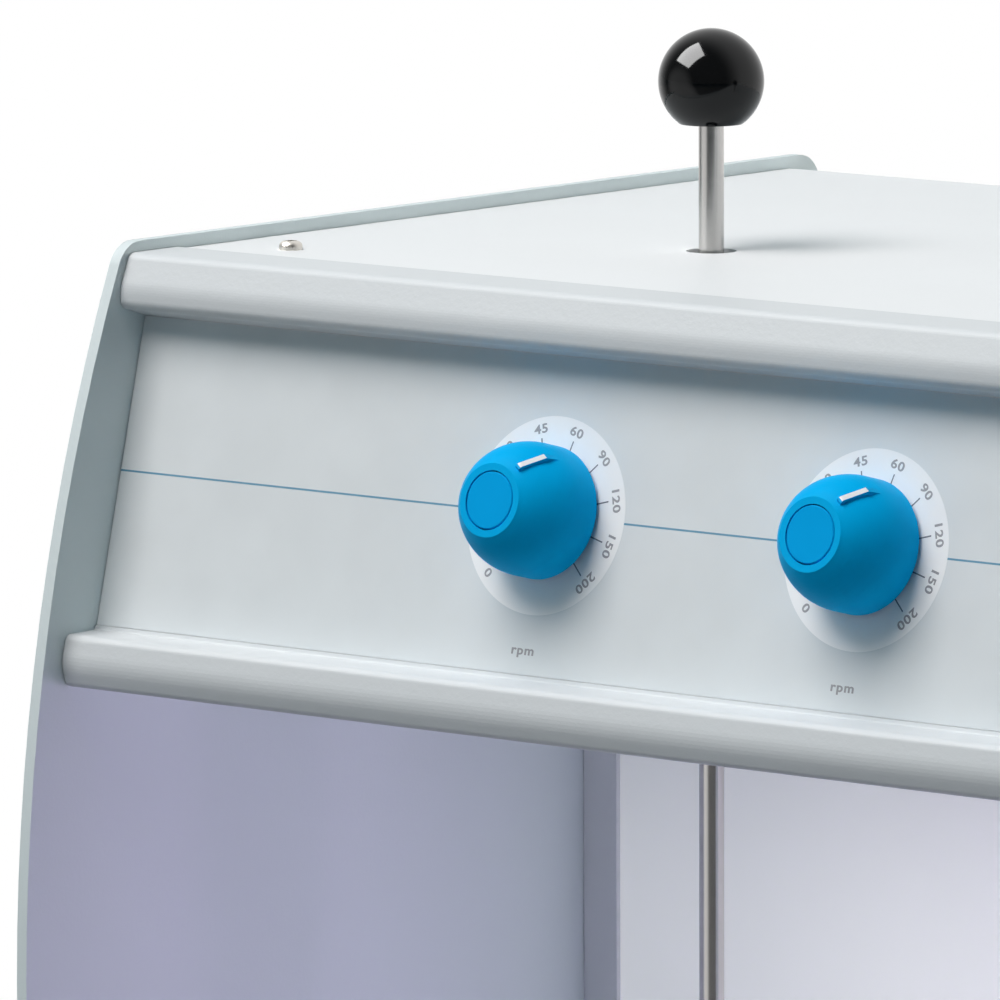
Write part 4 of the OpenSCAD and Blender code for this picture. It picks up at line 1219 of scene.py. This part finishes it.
@dataclass
class Floor:
    """A pale floor that takes the shadow near the object and is plain white further off.

    Attributes:
        half: Half its side, in metres.
        drop: How far it lies below the feet, in metres.
        bounce: Its paint, as the object's light meets it.
        shown: Its paint, as the camera sees it in a shadow.
        white_from: Distances between which it turns to plain white, in metres.
    """

    half: float = 30.0
    drop: float = 0.1 * MM
    bounce: float = 0.19
    shown: float = 0.4
    white_from: tuple[float, float] = (0.5, 0.95)

    def build(self, room: Room) -> None:
        """Makes the floor.

        Args:
            room: What a mirror shows in the floor's place.
        """
        corner = np.array([[-1, -1], [1, -1], [1, 1], [-1, 1]]) * self.half
        points = np.column_stack([corner, np.full(len(corner), -self.drop)])
        mesh = bpy.data.meshes.new("studio_floor")
        mesh.from_pydata(points.tolist(), [], [(0, 1, 2, 3)])
        mesh.materials.append(self._paint(room))
        floor = bpy.data.objects.new("studio_floor", mesh)
        bpy.context.scene.collection.objects.link(floor)

    def _paint(self, room: Room) -> bpy.types.Material:
        """Paint that is white in full light to the camera and pale grey to the object.

        Args:
            room: What a mirror shows in the floor's place.

        Returns:
            The floor's material.
        """
        material = bpy.data.materials.new("floor_white")
        material.use_nodes = True
        graph = Graph(material.node_tree)
        ray = graph.add("ShaderNodeLightPath").outputs
        place = graph.add("ShaderNodeTexCoord").outputs["Object"]
        away = graph.add("ShaderNodeVectorMath", {0: place}, operation="LENGTH").outputs["Value"]
        far = graph.remap(away, self.white_from, curve=Curve.SMOOTH)
        clear = graph.math("MAXIMUM", ray["Is Camera Ray"], ray["Is Transmission Ray"])
        mirrored = graph.math("MULTIPLY", ray["Is Glossy Ray"], room.share(graph, place))
        seen = graph.math("MAXIMUM", clear, mirrored)
        pale = graph.mixed(seen, (self.bounce,) * 3, (self.shown,) * 3)
        paint = graph.add("ShaderNodeBsdfDiffuse", {"Color": pale})
        lift = graph.math("MULTIPLY", seen, 1 - self.shown)
        light = graph.add("ShaderNodeEmission", {"Strength": lift})
        near = graph.add("ShaderNodeAddShader", {0: paint.outputs[0], 1: light.outputs[0]})
        white = graph.add("ShaderNodeEmission", {"Strength": 1.0})
        plain = graph.math("MULTIPLY", seen, far)
        layers = {0: plain, 1: near.outputs[0], 2: white.outputs[0]}
        both = graph.add("ShaderNodeMixShader", layers)
        graph.add("ShaderNodeOutputMaterial", {"Surface": both.outputs[0]})
        return material


@dataclass
class Studio:
    """Pale floor, white surroundings and soft lamps.

    Attributes:
        ambient: Colour and strength of the soft light from all round.
        sides: X of the direction between which the soft light changes.
        side_levels: Its share on the left and on the right.
    """

    floor: Floor = field(default_factory=Floor)
    room: Room = field(default_factory=Room)
    ambient: Colour = (0.123, 0.191, 0.221)
    sides: tuple[float, float] = (-0.7, 0.6)
    side_levels: tuple[float, float] = (1.75, 0.3)
    lamps: list[Lamp] = field(
        default_factory=lambda: [
            Lamp(
                "key_softbox", (-0.22, -0.48, 0.85), 3.2, 2.0, watts=96.5, colour=(1.0, 0.93, 0.9)
            ),
            Lamp("key_window", (-0.43, -0.44, 0.778), 2.4, 1.7, watts=150.0, window=True),
            Lamp("back_fill", (0.12, 0.99, 0.02), 3.2, 1.6, watts=54.0, colour=(1.0, 0.95, 0.9)),
            Lamp("right_fill", (0.95, 0.32, -0.02), 3.0, 1.0, watts=48.0, colour=(1.0, 0.97, 0.94)),
            Lamp("left_fill", (-0.95, 0.32, -0.02), 3.0, 1.0, watts=24.0, colour=(1.0, 0.95, 0.9)),
        ]
    )

    def _surroundings(self) -> None:
        """White to the camera; in mirrors the room; to the rest the soft light."""
        world = bpy.data.worlds.new("studio_world")
        world.use_nodes = True
        graph = Graph(world.node_tree)
        ray = graph.add("ShaderNodeLightPath").outputs
        way = graph.add("ShaderNodeTexCoord").outputs["Generated"]
        around = graph.span(self.room.share(graph, way), self.room.dim, 1.0)
        bright = graph.math("MAXIMUM", around, ray["Is Camera Ray"])
        white = {"Color": (1.0, 1.0, 1.0, 1.0), "Strength": bright}
        level = graph.remap(graph.split(way)[0], self.sides, self.side_levels, Curve.SMOOTH)
        soft = {"Color": (*self.ambient, 1.0), "Strength": level}
        clear = graph.math("MAXIMUM", ray["Is Camera Ray"], ray["Is Transmission Ray"])
        shown = graph.math("MAXIMUM", clear, ray["Is Glossy Ray"])
        lights = [graph.add("ShaderNodeBackground", given).outputs[0] for given in (soft, white)]
        both = graph.add("ShaderNodeMixShader", {0: shown, 1: lights[0], 2: lights[1]})
        graph.add("ShaderNodeOutputWorld", {"Surface": both.outputs[0]})
        bpy.context.scene.world = world

    def build(self) -> None:
        """Makes the floor, the surroundings and the lamps."""
        bpy.context.scene.view_settings.view_transform = "Standard"
        self.floor.build(self.room)
        self._surroundings()
        for lamp in self.lamps:
            lamp.build()
        BayGlow().build()


# ---- The whole object ------------------------------------------------------


def main() -> None:
    """Dresses the jar tester piece by piece and reports each."""
    logging.basicConfig(level=logging.INFO, format="%(name)s %(message)s")
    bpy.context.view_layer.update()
    PhotoCamera().build()
    finishes = Finishes()
    finishes.dress_nodes()
    plane = PanelPlane()
    PanelLine(plane, finishes).build()
    for number in PLACES:
        SpeedDial(plane, finishes, number).build()
        KnobPointer(plane, finishes, number).build()
    for switch in ("mains", "lamp"):
        RockerMarks(plane, finishes, switch).build()
    Studio().build()


if __name__ == "__main__":
    main()
